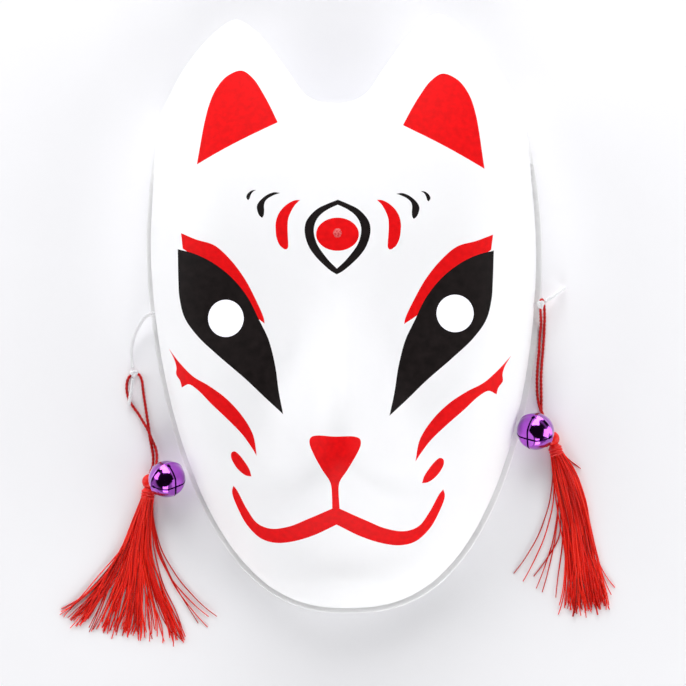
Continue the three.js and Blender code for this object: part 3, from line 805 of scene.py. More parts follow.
# How far each print slipped in printing, on the viewer's left and right: a move in millimetres and, for the
# eye patches, a stretch
NOSE_SLIP = (0.6, 0)
NO_SLIP = [((0, 0),), ((0, 0),)]
EAR_SLIP = [((0.6, -0.2),), ((0, -1.2),)]
LID_SLIP = [((-1.2, 0.8),), ((-0.8, 1.1),)]
PATCH_SLIP = [((-0.4, -0.3), (1.06, 1.02)), ((-0.8, -0.1), (0.97, 1.025))]
STRIPE_SLIP = [((0, -0.5),), ((0.2, -1.7),)]
DROP_SLIP = [((0.2, 0),), ((0.4, -1.4),)]
MOUTH_SLIP = [(NOSE_SLIP,), (NOSE_SLIP,)]
CRESCENT_SLIP = [((0, 0.1),), ((0.4, 0.4),)]
PLASTIC, RED, BLACK, GATE = range(4)
PRINT_SPACING = 0.6
RIM_SPACING = 1.1 * MM
PRINTED_EDGE_ROWS = 4


def corner_outline(runs):
    """A closed outline whose runs are smooth curves that meet at corners."""
    ends = [run[0] for run in runs[1:]] + [runs[0][0]]
    lines = [curve_through(run + [end]) if len(run) > 1 else np.array(run + [end], float)
             for run, end in zip(runs, ends)]
    return np.concatenate([spaced(line, PRINT_SPACING)[:-1] for line in lines])


def middle_outline(right_half):
    """A closed outline from its right half and the same mirrored."""
    half = spaced(curve_through(right_half), PRINT_SPACING)
    mirrored = half[::-1] * [-1, 1]
    return np.concatenate([half, mirrored[1 if half[-1][0] == 0 else 0:-1]])


def ellipse(centre, radii, count):
    """Evenly turned points on an ellipse."""
    turn = np.arange(count) * 2 * pi / count
    return np.array(centre) + np.stack([np.cos(turn), np.sin(turn)], -1) * radii


def gate_outline(radius, count=36):
    """A circle drawn slightly in between its six rounded corners."""
    turn = np.arange(count) * 2 * pi / count
    drawn = radius * (1 + 0.05 * np.cos(GATE_SIDES * turn))
    return np.array(GATE_CENTRE) + np.stack([np.cos(turn), 1.1 * np.sin(turn)], -1) * drawn[:, None]


def slipped(outline, move, stretch=(1, 1)):
    """An outline stretched about its own middle, then moved."""
    middle = (outline.min(0) + outline.max(0)) / 2
    return (outline - middle) * stretch + middle + move


def print_marks(mask):
    """Every printed outline with its ink, in the order in which the inks lie on each other."""
    sided = [(EAR_PRINT, RED, EAR_SLIP), (EYE_LID, RED, LID_SLIP), (EYE_PATCH, BLACK, PATCH_SLIP),
             (CHEEK_STRIPE, RED, STRIPE_SLIP), (CHEEK_DROP, RED, DROP_SLIP), (MOUTH, RED, MOUTH_SLIP),
             (SMALL_CRESCENT, BLACK, NO_SLIP), (MEDIUM_CRESCENT, BLACK, NO_SLIP),
             (RED_CRESCENT, RED, CRESCENT_SLIP)]
    marks = []
    for runs, ink, slips in sided:
        outline = corner_outline(runs)
        marks += [(slipped(outline, *slips[1]), ink), (slipped(outline * [-1, 1], *slips[0]), ink)]
    marks += [
        (middle_outline(NOSE) + NOSE_SLIP, RED),
        (middle_outline(RING_OUTSIDE), BLACK),
        (middle_outline(RING_INSIDE), PLASTIC),
        (ellipse(PUPIL_CENTRE, PUPIL_RADII, 80), RED),
        (gate_outline(GATE_RADIUS + GATE_STEP), RED),
        (gate_outline(GATE_RADIUS), GATE),
    ]
    turn = mask.print_turn
    turned = np.array([[cos(turn), -sin(turn)], [sin(turn), cos(turn)]])
    return [(((outline - PRINT_PIVOT) @ turned + PRINT_PIVOT) * MM, ink) for outline, ink in marks]


# The moulded mask: its mesh

def inward_normals(loop, hole=False):
    """The direction into the material at each point of a loop that runs clockwise round the material."""
    along = unit(np.roll(loop, -1, axis=0) - np.roll(loop, 1, axis=0))
    return np.stack([along[:, 1], -along[:, 0]], -1) * (-1 if hole else 1)


def rounded_edge(mask, loop, into):
    """Rows of points from the front over the edge to the back: a quarter round of the edge's radius, the
    straight wall, and a quarter round again. The first and last rows lie on the two surfaces."""
    radius = mask.edge_round
    turn = np.linspace(0, pi / 2, 4)
    inset = radius * (1 - np.sin(turn))
    drop = radius * (1 - np.cos(turn))
    rows = []
    for distance, fall in zip(inset, drop):
        place = loop + into * distance
        rows.append(np.column_stack([place, front_height(mask, *place.T) - fall]))
    for distance, fall in zip(inset[::-1], drop[::-1]):
        place = loop + into * distance
        rows.append(np.column_stack([place, back_height(mask, *place.T) + fall]))
    return np.stack(rows)


def strap_hole_loop(mask, side, height, count=20):
    """The strap hole's edge on one surface: a circle seen from the side, with the distance out to the steep
    wall found by halving at each of its points."""
    turn = np.arange(count) * 2 * pi / count
    y = mask.strap_y + mask.strap_hole / 2 * np.cos(turn)
    z = mask.strap_z + mask.strap_hole / 2 * np.sin(turn)
    near = np.full(count, 0.6 * HALF_WIDTH)
    far = np.full(count, HALF_WIDTH)
    for _ in range(40):
        middle = (near + far) / 2
        above = height(middle, y) > z
        near = np.where(above, middle, near)
        far = np.where(above, far, middle)
    return np.stack([side * near, y], -1), z


def foot_line(mask, outline, extra):
    """The line where the dome meets the lip, as far as the lip shows on both sides."""
    near = np.zeros(len(outline))
    far = np.ones(len(outline))
    for _ in range(40):
        middle = (near + far) / 2
        place = HUB + middle[:, None] * (outline - HUB)
        inset = lip_width(mask, place[:, 1]) + extra
        across = np.abs(place[:, 0]) < oval_half_width(place[:, 1], inset)
        within = across & (place[:, 1] > inset - HALF_LENGTH)
        near = np.where(within, middle, near)
        far = np.where(within, far, middle)
    place = HUB + near[:, None] * (outline - HUB)
    gap = np.linalg.norm(outline - place, axis=1)
    shown = (gap > 1 * MM) & (place[:, 1] < 0.6 * HALF_LENGTH)
    return place[shown]


def shell_sheet(mask, height, extra, edges, strap_loops, spacing, marks=()):
    """One face of the shell: the flat layout triangulated inside its edges and set at its height."""
    outline = edges[0]
    layout = Unrolled(mask_outline(), height)
    loops = [*edges, *[loop for loop, _ in strap_loops], *[loop for loop, _ in marks]]
    layers = [PLASTIC] + [None] * (len(edges) - 1 + len(strap_loops)) + [ink for _, ink in marks]
    foot = foot_line(mask, outline, extra)
    flat_loops = [layout.flat(loop) for loop in loops]
    flat_foot = layout.flat(foot)
    fixed = np.concatenate([*flat_loops, flat_foot])
    reach = layout.whole.max()
    fill = clear_of(staggered_grid(reach, spacing), fixed, 0.5 * spacing)
    fill = fill[np.hypot(*fill.T) < np.interp(np.arctan2(*fill.T[::-1]), layout.angles, layout.whole)]
    flat, triangles, layer, where = triangulated(flat_loops, layers, [flat_foot], fill)
    place = layout.folded(flat)
    for loop, spots in zip(loops, where):
        place[spots] = loop
    points = np.column_stack([place, height(*place.T)])
    for (_, level), spots in zip(strap_loops, where[len(edges):]):
        points[spots, 2] = level
    return points, triangles, layer, where


def gate_rise(points):
    """The moulding point stands proud inside its outline, steeply over the width of its step."""
    centre = np.array(GATE_CENTRE) - PRINT_PIVOT
    away = np.linalg.norm(points[:, :2] / MM - PRINT_PIVOT - centre, axis=1)
    return 0.35 * MM * (1 - smoothstep(GATE_RADIUS - GATE_STEP, GATE_RADIUS + GATE_STEP, away))


def build_mask(mask):
    """The whole shell as one closed mesh: front and back sheets, joined over the rim and through the
    holes."""
    outline = spaced(mask_outline(), RIM_SPACING, closed=True)
    eye_centres = [(side * mask.eye_spacing / 2, mask.eye_y) for side in (-1, 1)]
    eyes = [ellipse(centre, mask.eye_hole / 2, 72)[::-1] for centre in eye_centres]
    rims = [rounded_edge(mask, outline, inward_normals(outline))]
    rims += [rounded_edge(mask, eye, inward_normals(eye, hole=True)) for eye in eyes]

    def front(x, y):
        return front_height(mask, x, y)

    def back(x, y):
        return back_height(mask, x, y)

    front_straps = [strap_hole_loop(mask, side, front) for side in (-1, 1)]
    back_straps = [strap_hole_loop(mask, side, back) for side in (-1, 1)]
    front_edges = [rim[0][:, :2] for rim in rims]
    back_edges = [rim[-1][:, :2] for rim in rims]
    points, triangles, layer, where = shell_sheet(
        mask, front, 0, front_edges, front_straps, mask.front_spacing, print_marks(mask))
    points[:, 2] += gate_rise(points)
    behind, back_triangles, _, back_where = shell_sheet(
        mask, back, mask.wall, back_edges, back_straps, mask.back_spacing)
    first_behind = len(points)
    all_points = [points, behind]
    faces = [triangles, back_triangles[:, ::-1] + first_behind]
    count = first_behind + len(behind)
    inks = [layer, np.full(len(back_triangles), PLASTIC)]
    for rim, top, bottom, ink in zip(rims, where, back_where, (PLASTIC, BLACK, BLACK)):
        middle = rim[1:-1]
        rows = np.concatenate([top[None], count + np.arange(middle[..., 0].size).reshape(middle.shape[:2]),
                               bottom[None] + first_behind])
        wall = bridged(rows)
        faces.append(wall if ink == PLASTIC else wall[:, ::-1])
        printed = np.arange(len(rows) - 1) < PRINTED_EDGE_ROWS
        inks.append(np.repeat(np.where(printed, ink, PLASTIC), len(top)))
        all_points.append(middle.reshape(-1, 3))
        count += middle[..., 0].size
    for side, top, bottom in zip((-1, 1), where[len(rims):], back_where[len(rims):]):
        strip = bridged(np.stack([top, bottom + first_behind]))
        faces.append(strip if side > 0 else strip[:, ::-1])
        inks.append(np.full(len(strip), PLASTIC))
    material_index = np.concatenate(inks)
    materials = [white_plastic(mask), red_ink(mask), black_ink(mask), gate_mark(mask)]
    piece = make_piece("moulded_mask", np.concatenate(all_points), faces, materials, material_index)
    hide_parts("mask_shell")


def bridged(rows):
    """Squares between neighbouring rows of point numbers, closed round each row."""
    beside = np.roll(rows, -1, axis=1)
    return np.stack([rows[:-1], beside[:-1], beside[1:], rows[1:]], -1).reshape(-1, 4)


# Cords. Their points, in millimetres, are a place out from the mask's widest edge, then y and z.

LEFT_BIGHT = (6.05, -20.8, 0.75)
RIGHT_BIGHT = (-1.95, 5, 8.1)
BIGHTS = {"left": LEFT_BIGHT, "right": RIGHT_BIGHT}
LEFT_LEAD = [
    (6.45, -18.4, 3.6), (6.95, -15.2, 3), (7.05, -11, 2.8), (5.85, -5.6, 3.6), (2.95, -0.3, 5.4),
    (-0.55, 3.6, 8.3), (-4.75, 5, 10),
]
# The elastic inside the mask: shares of the half width and half length, and the height
HIDDEN_RUN = [
    (0.897, 0.041, 8.6), (0.856, 0.028, 5.2), (0.836, -0.012, 2.4), (0.83, -0.071, 1), (0.806, -0.238, 0.85),
    (0.739, -0.437, 0.85), (0.622, -0.635, 0.85), (0.446, -0.778, 0.85), (0.211, -0.861, 0.85),
]
HIDDEN_MIDDLE = (0, -0.885, 0.85)
RIGHT_EXIT = (-4.35, 5, 10.2)
TAILS = {
    "left": [(6.5, -23.1, 4), (6.85, -25.8, 3.5), (7.55, -29, 3), (8.25, -32, 2.6), (8.75, -34.6, 2.4)],
    "right": [(0.05, 6.2, 10.9), (2.5, 7.7, 9.6), (5.05, 9.4, 6.8), (7.35, 10.9, 3.4), (9.15, 12, 1.3)],
}
# Each red cord leaves its tassel, goes round its bight at the elastic's knot and comes back
LOOPS = {
    "left": [
        (-1.45, -64.8, 4.9), (-2.9, -61.9, 5.6), (-3.05, -59, 4.1), (-2.8, -55.8, 1.8), (-2.1, -52.9, 1.3),
        (-0.9, -49.8, 1.8), (0.2, -46.7, 2.3), (1.1, -44.6, 2.3), (2.6, -42.2, 1.7), (4.9, -38.5, 0.9),
        (6.9, -35.7, 0.75), (8.6, -33, 0.75), (9.6, -29.6, 0.75), (9.85, -26.6, 0.75), (9.3, -23.6, 0.75),
        (7.9, -21.6, 0.75), LEFT_BIGHT, (4.25, -21.6, 0.75), (3.2, -23.9, 0.75), (2.8, -27.5, 0.75),
        (2.2, -32.5, 0.75), (1.55, -37.5, 0.75), (1.1, -41.1, 0.75), (0.5, -45.5, 0.75), (0.1, -49.5, 0.75),
        (-0.6, -53.5, 0.75), (-1.1, -57.6, 0.75), (-0.9, -61, 1.4), (0.2, -64.1, 2.6),
    ],
    "right": [
        (1.02, -49, 4.3), (0.45, -47, 4.9), (-0.3, -44.8, 4.8), (-1.3, -42.2, 3.7), (-2.3, -39.6, 2.2),
        (-2.9, -37, 1.1), (-3.3, -33.6, 0.75), (-3.35, -27.2, 0.75), (-2.9, -20.8, 0.75),
        (-2.2, -14.4, 0.75), (-1.75, -8.4, 0.85), (-1.3, -4, 1.9), (-1.4, -0.9, 3.7), (-1.65, 1.5, 5.7),
        (-1.85, 3.4, 7.3), RIGHT_BIGHT, (-1.6, 6.5, 7.4), (-0.95, 7.1, 5.7), (-0.15, 6, 3.7), (0.3, 3, 2),
        (0.4, -0.8, 1), (0.25, -4.6, 0.75), (0, -8.4, 0.75), (-0.55, -14.4, 0.75), (-1.2, -20.8, 0.75),
        (-1.6, -26.6, 0.75), (-1.65, -32, 0.75), (-1.7, -36.6, 0.75), (-1.75, -40.2, 0.75),
        (-1.1, -43, 0.8), (0.6, -46.2, 1.4), (1.9, -48.8, 2.4),
    ],
}


def beside(side, points):
    """Points beside the mask, in metres, from their distances out from its widest edge."""
    out, y, z = np.array(points, float).reshape(-1, 3).T * MM
    return np.stack([SIDES[side] * (HALF_WIDTH + out), y, z], -1)


def inside(side, points):
    """Points inside the mask, in metres, from shares of its half sizes and heights."""
    u, v, z = np.array(points, float).reshape(-1, 3).T
    return np.stack([SIDES[side] * u * HALF_WIDTH, v * HALF_LENGTH, z * MM], -1)


def braided_tube(name, route, diameter, material, sides=12):
    """A braid: a round tube along the route, its radius raised a little where the two sets of threads, which
    wind opposite ways, cross."""
    centres = spaced(curve_through(route), 0.4 * MM)
    along = distance_along(centres)
    turn = np.arange(sides) * 2 * pi / sides
    wind = 2 * pi * along[:, None] / (2.4 * MM)
    weave = np.cos(2 * turn + wind) * np.cos(2 * turn - wind)
    points = sweep(centres, diameter / 2 * (0.98 + 0.04 * weave), sides)
    piece = make_piece(name, points, tube_faces(len(centres), sides), [material],
                       uv=tube_uv(len(centres), sides, along))
    return piece, centres


def twisted_tube(name, route, diameter, material, sides=16):
    """A cord of two plies: the radius is largest along two ridges that wind round the cord."""
    centres = spaced(curve_through(route), 0.25 * MM)
    along = distance_along(centres)
    turn = np.arange(sides) * 2 * pi / sides
    wind = 2 * pi * along[:, None] / (3.4 * MM)
    plies = np.abs(np.cos(turn + wind))
    points = sweep(centres, diameter / 2 * (0.58 + 0.34 * plies), sides)
    piece = make_piece(name, points, tube_faces(len(centres), sides), [material],
                       uv=tube_uv(len(centres), sides, along))
    return piece, centres


def build_elastic(cords):
    """The elastic from the left knot through both holes, and the two free ends past its knots."""
    material = braided_elastic(cords)
    hidden = [inside("left", HIDDEN_RUN), inside("right", HIDDEN_MIDDLE), inside("right", HIDDEN_RUN[::-1])]
    route = np.concatenate([beside("left", LEFT_LEAD), *hidden, beside("right", RIGHT_EXIT)])
    strap, centres = braided_tube("elastic_cord", route, cords.elastic, material)
    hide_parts("elastic_strap")
    on_it = []
    for side in SIDES:
        tail, _ = braided_tube(f"elastic_end_{side}", beside(side, TAILS[side]), cords.elastic, material)
        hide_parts(f"elastic_tail_{side}")
        knot = build_knot(cords, side, material)
        on_it += [tail, knot]


# In a pulled knot the elastic is a little thinner, and its three lobes rise and fall this much
PULLED_SHARE = 0.86
LOBE_RISE = 1.6


def build_knot(cords, side, material):
    """A pulled knot: the elastic follows a three-lobed overhand curve, x = sin t + 2 sin 2t,
    y = cos t - 2 cos 2t, z = -rise sin 3t, scaled so that its outside has the knot's diameter."""
    t = np.linspace(0, 2 * pi, 121)
    lobes = [np.sin(t) + 2 * np.sin(2 * t), np.cos(t) - 2 * np.cos(2 * t), -LOBE_RISE * np.sin(3 * t)]
    curve = np.stack(lobes, -1)
    thread = cords.elastic * PULLED_SHARE
    centre = beside(side, BIGHTS[side])[0]
    centre[2] += (cords.red_cord + cords.knot) / 2 + cords.clearance
    centres = centre + curve * (cords.knot - thread) / 6
    sides = 12
    points = sweep(centres, thread / 2, sides)
    knot = make_piece(f"pulled_knot_{side}", points, tube_faces(len(centres), sides), [material],
                      uv=tube_uv(len(centres), sides, distance_along(centres)))
    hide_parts(f"elastic_knot_{side}")
    return knot


def build_loops(cords):
    """The two red cord loops, each with its bell and its tassel's knot on it."""
    material = twisted_cord(cords)
    for side in SIDES:
        name = f"red_loop_{side}"
        loop, centres = twisted_tube(name, beside(side, LOOPS[side]), cords.red_cord, material)
        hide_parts(f"tassel_loop_{side}")


# Bells: the eye's place, the way to the slotted pole, the way of the cord and the slots' turn. The slots
# end in holes whose height over the seam is a share of the radius. Rows of points lie close to the seam, as
# shares of the way from the pole, and the loose points between them end a little short of it.
BELL_EYES = {"left": (-2.9, -61.9, 5.6), "right": (-0.3, -44.8, 4.8)}
BELL_POLES = {"left": (0.62, -0.45, 0.643), "right": (-0.55, -0.42, 0.72)}
BELL_CORDS = {"left": (-0.2, -0.95, 0.25), "right": (0.31, -0.93, 0.18)}
SLOT_TURNS = {"left": radians(38), "right": radians(-37)}
HOLE_HEIGHT = 0.2
SEAM_ROWS = (0.963, 0.977, 0.99)
FILL_REACH = 0.95
SKIN_SPACING = 0.55 * MM


def slot_cross(bells, turn, count=18):
    """The crossed slots on a flat layout round the pole: four straight arms of the slot's width, each ending
    in a round hole."""
    reach = bells.diameter / 2 * np.arccos(HOLE_HEIGHT)
    half, hole = bells.slot / 2, bells.slot_hole / 2
    opening = np.arcsin(half / hole)
    around = np.linspace(-pi + opening, pi - opening, count)
    end = np.stack([reach + hole * np.cos(around), hole * np.sin(around)], -1)
    inner = np.array([[half, -half]])
    out = np.linspace(inner[0], end[0], 16)[:-1]
    back = np.linspace(end[-1], [half, half], 16)[1:-1]
    arm = np.concatenate([out, end, back])
    turns = turn + np.arange(4) * pi / 2
    spin = np.array([[[cos(a), sin(a)], [-sin(a), cos(a)]] for a in turns])
    return np.concatenate([arm @ matrix for matrix in spin])


def bell_place(bells, cords, side):
    """The matrix that sets a bell on its cord by the eye."""
    outward = unit(BELL_POLES[side])
    cord = np.array(BELL_CORDS[side])
    across = unit(cord - np.dot(cord, outward) * outward)
    sideways = np.cross(across, outward)
    reach = bells.length / 2 + cords.red_cord / 2 + bells.eye_clearance
    place = beside(side, BELL_EYES[side])[0] + outward * reach
    return np.stack([sideways, across, outward]), place


def bell_skin(bells, latitude, turn, inset):
    """A point of the bell: an ellipsoid with a rounded bead at its middle and a flattened slotted end,
    moved in by an inset."""
    radius, pole = bells.diameter / 2 - inset, bells.length / 2 - inset
    bead = (bells.bead if inset == 0 else 0) * bump(latitude, 0.07)
    out = radius * np.cos(latitude) + bead
    height = np.sin(latitude)
    height = np.minimum(height, bells.flat_end + 0.2 * (height - bells.flat_end))
    place = [out * np.cos(turn), out * np.sin(turn), pole * height]
    return np.stack(np.broadcast_arrays(*place), -1)


def build_bell(bells, cords, material, side):
    """Outer and inner skins of a slotted upper half and a plain lower half, joined along the slots' edges,
    with a wire eye at the closed pole."""
    around, quarter = 96, bells.diameter / 2 * pi / 2
    rim = ellipse((0, 0), quarter, around)
    cross = slot_cross(bells, SLOT_TURNS[side])
    seam_rows = [ellipse((0, 0), quarter * share, around) for share in SEAM_ROWS]
    fixed = np.concatenate([rim, cross, *seam_rows])
    fill = clear_of(staggered_grid(quarter, SKIN_SPACING), fixed, 0.3 * MM)
    fill = fill[np.hypot(*fill.T) < quarter * FILL_REACH]
    closed_rows = [np.concatenate([row, row[:1]]) for row in seam_rows]
    flat, triangles, _, where = triangulated([rim, cross], [0, None], closed_rows, fill)
    turn = np.arctan2(flat[:, 1], flat[:, 0])
    latitude = pi / 2 * (1 - np.hypot(*flat.T) / quarter)
    lower = -pi / 2 * np.concatenate([[0.01, 0.025, 0.045, 0.07], np.linspace(0.11, 0.97, 24)])
    ring_turn = np.arange(around) * 2 * pi / around
    faces, points, count = [], [], 0
    for inset in (0, bells.wall):
        upper = bell_skin(bells, latitude, turn, inset)
        rows = bell_skin(bells, lower[:, None], ring_turn, inset).reshape(-1, 3)
        tip = [[0, 0, inset - bells.length / 2]]
        first = count + len(upper)
        numbers = first + np.arange(len(rows)).reshape(-1, around)
        rings = np.concatenate([where[0][None] + count, numbers])
        last = numbers[-1]
        fan = np.stack([np.roll(last, -1), last, np.full(around, first + len(rows))], -1)
        blocks = [triangles + count, bridged(rings)[:, ::-1], fan]
        faces += blocks if inset == 0 else [block[:, ::-1] for block in blocks]
        points += [upper, rows, tip]
        count = first + len(rows) + 1
    second = len(points[0]) + len(points[1]) + 1
    faces.append(bridged(np.stack([where[1], where[1] + second])))
    wire = wire_eye(bells, cords)
    faces.append(grid_faces(*wire.shape[:2], count))
    first_ring = count + np.arange(wire.shape[1])
    last_ring = first_ring + wire[..., 0].size - wire.shape[1]
    faces.append(bridged(np.stack([last_ring, first_ring])))
    turned, place = bell_place(bells, cords, side)
    whole = np.concatenate([*points, wire.reshape(-1, 3)]) @ turned + place
    piece = make_piece(f"jingle_bell_{side}", whole, faces, [material], sharp=radians(40))
    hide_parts(f"bell_{side}")


def wire_eye(bells, cords, rings=32, sides=10):
    """A ring of round wire under the closed pole, its hole along Y: rows round the ring, columns round the
    wire."""
    ring_radius = cords.red_cord / 2 + bells.eye_clearance + bells.wire / 2
    turn = (np.arange(rings) * 2 * pi / rings)[:, None]
    small = (np.arange(sides) * 2 * pi / sides)[None, :]
    out = ring_radius + bells.wire / 2 * np.cos(small)
    low = -bells.length / 2 - cords.red_cord / 2 - bells.eye_clearance
    level = np.broadcast_to(bells.wire / 2 * np.sin(small), (rings, sides))
    return np.stack([out * np.cos(turn), level, low + out * np.sin(turn)], -1)


# Tassels: the place of each ball on the floor, its heading from +Y, and the fan of its strands
TASSEL_PLACES = {"left": (0.37, -67.6, 0), "right": (2.32, -52.3, 0)}
TASSEL_HEADINGS = {"left": radians(172.5), "right": radians(-164)}
# bend is the heading of the skirt's middle at five places from collar to tips, and spread is how far the
# outermost strands turn away from it there, in degrees; they are longer than the middle ones by flare
FANS = {
    "left": {"bend": (8, 6, -1, 1, 7), "spread": (7, 11, 24, 32, 32), "length": 61, "flare": 0.07,
             "clumps": 11, "seed": 3},
    "right": {"bend": (-3, 2, 8, 8, 9), "spread": (14, 3, 0, 4, 8), "length": 69, "flare": 0,
              "clumps": 8, "seed": 8},
}
# Single loose strands: the place across the collar from -1 to 1, five headings in degrees, the length
STRAYS = {
    "left": [
        (0.9, (15, 14, 26, 46, 58), 63), (0.9, (14, 14, 28, 44, 50), 65), (0.8, (14, 12, 22, 44, 40), 64),
        (-0.9, (-4, -20, -38, -50, -62), 61), (-0.8, (-4, -16, -32, -44, -50), 63),
        (-0.9, (-4, -16, -30, -38, -38), 59), (-0.8, (-2, -14, -34, -50, -60), 60),
        (-0.8, (-2, -10, -20, -34, -22), 60), (-0.6, (2, -2, -14, -26, -44), 62),
    ],
    "right": [
        (0.9, (10, 24, 36, 48, 56), 55), (0.8, (8, 20, 32, 42, 48), 57), (0.7, (4, 14, 26, 36, 40), 59),
        (0.7, (4, 14, 24, 30, 34), 60), (0.6, (4, 10, 18, 50, 56), 56), (0.5, (2, 10, 18, 26, 22), 62),
        (-0.9, (-22, -28, -34, -36, -36), 11), (-0.8, (-6, -2, 2, 4, 6), 63),
        (-0.8, (-10, -2, 6, -6, -24), 63), (-0.6, (-6, 2, 4, -4, 2), 63),
    ],
}


# Where the collar starts, from the ball's centre, as a share of the ball's radius
COLLAR_START = 1.15


def head_reach(tassels):
    """From the ball's centre to the far end of the collar."""
    return tassels.ball / 2 * COLLAR_START + tassels.collar_length


def tassel_frame(side):
    """Rows of a tassel's own X, Y and Z directions, and its place on the floor."""
    heading = TASSEL_HEADINGS[side]
    axes = np.array([[cos(heading), sin(heading), 0], [-sin(heading), cos(heading), 0], [0, 0, 1]])
    return axes, beside(side, TASSEL_PLACES[side])[0]


def build_head(tassels, side, material):
    """A ball wound three ways, its radius the largest of three sets of rounded ridges, and a collar whose
    wraps are half rounds with slanted twist lines."""
    sides = 64
    turn = np.arange(sides) * 2 * pi / sides
    latitude = np.linspace(-pi / 2, pi / 2, 44)[:, None]
    ball = unit(np.stack(np.broadcast_arrays(
        np.cos(latitude) * np.cos(turn), np.cos(latitude) * np.sin(turn), np.sin(latitude)), -1))
    ridges = [np.abs(np.sin(9 * np.arcsin(np.clip(ball @ unit(way), -1, 1)) + phase))
              for way, phase in (((1, 0.3, 0.2), 0), ((-0.2, 1, 0.5), 1), ((0.3, -0.4, 1), 2))]
    radius = tassels.ball / 2 * (0.93 + 0.07 * np.maximum.reduce(ridges))
    heights = radius * np.sin(latitude)
    ball_points, ball_faces = revolved(radius * np.cos(latitude), heights, sides)
    start, length = tassels.ball / 2 * COLLAR_START, tassels.collar_length
    share = np.linspace(0, 1, 46)[:, None]
    wrap = np.abs(np.sin(pi * tassels.wraps * share))
    twist = 0.03 * np.cos(14 * turn + 2 * pi * tassels.wraps * 2.5 * share)
    body = tassels.collar / 2 * (0.86 + 0.14 * wrap ** 0.6 + twist * wrap)
    closing = np.zeros((1, sides))
    neck = np.full((1, sides), 0.6 * tassels.ball / 2)
    radii = np.concatenate([closing, neck, body, closing])
    levels = start + length * np.concatenate([[-0.3], [-0.25], share[:, 0], [1]])
    collar_points, collar_faces = revolved(radii, levels[:, None], sides)
    points = np.concatenate([ball_points, collar_points])
    faces = ball_faces + [block + len(ball_points) for block in collar_faces]
    standing = points[:, [0, 2, 1]] * [-1, 1, 1]
    standing[:, 2] += tassels.ball / 2
    axes, place = tassel_frame(side)
    piece = make_piece(f"tassel_knot_{side}", standing @ axes + place, faces, [material])
    put_tone(piece, np.full(len(points), 0.4))
    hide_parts(f"tassel_head_{side}")


def put_tone(piece, tones):
    """Each point's own tone, which the silk reads."""
    tone = piece.data.attributes.new("tone", "FLOAT", "POINT")
    tone.data.foreach_set("value", tones.astype(np.float32))


# How far a clump of strands, and a single one, turns off by chance at the five places, in degrees
CLUMP_BENDS = (0.5, 1.5, 2.5, 4, 6)
STRAND_BENDS = (0.8, 2, 3, 5, 8)
# How far a clump, and a strand in it, stands off its own place across the fan from -1 to 1, the power that
# draws the fan together in its middle, and how uneven and how cut back the lengths are, as shares
CLUMP_SCATTER, STRAND_SCATTER = 0.05, 0.08
FAN_POWER = 1.3
LENGTH_SCATTER, LENGTH_LOSS = 0.02, 0.04
# The pile of strands on the floor, in millimetres, at the collar, and what it loses up to the tips; the
# share of a strand over which it comes down to the floor; and its waves up and down
PILE, PILE_LOSS = 2.6, 1.6
COMING_DOWN = 0.55
WAVES, WAVE_HEIGHT = 1.5, 0.35 * MM


def sums_before(steps):
    """For each place in a row, the sum of the steps before it."""
    return np.concatenate([np.zeros((len(steps), 1)), np.cumsum(steps, axis=1)[:, :-1]], axis=1)


def strand_paths(starts, headings, lengths, steps):
    """Each strand's flat path: its heading changes smoothly through its own row of headings, and its place
    is the sum of steps along that heading from its start."""
    controls = headings.shape[1]
    share = np.linspace(0, controls - 1, steps)[None, :]
    nearness = np.clip(1 - np.abs(share - np.arange(controls)[:, None]), 0, 1)
    weights = smoothstep(0, 1, nearness)
    heading = headings @ weights
    step = (lengths / (steps - 1))[:, None]
    x = starts[:, :1] + sums_before(step * np.sin(heading))
    y = starts[:, 1:] + sums_before(step * np.cos(heading))
    return x, y


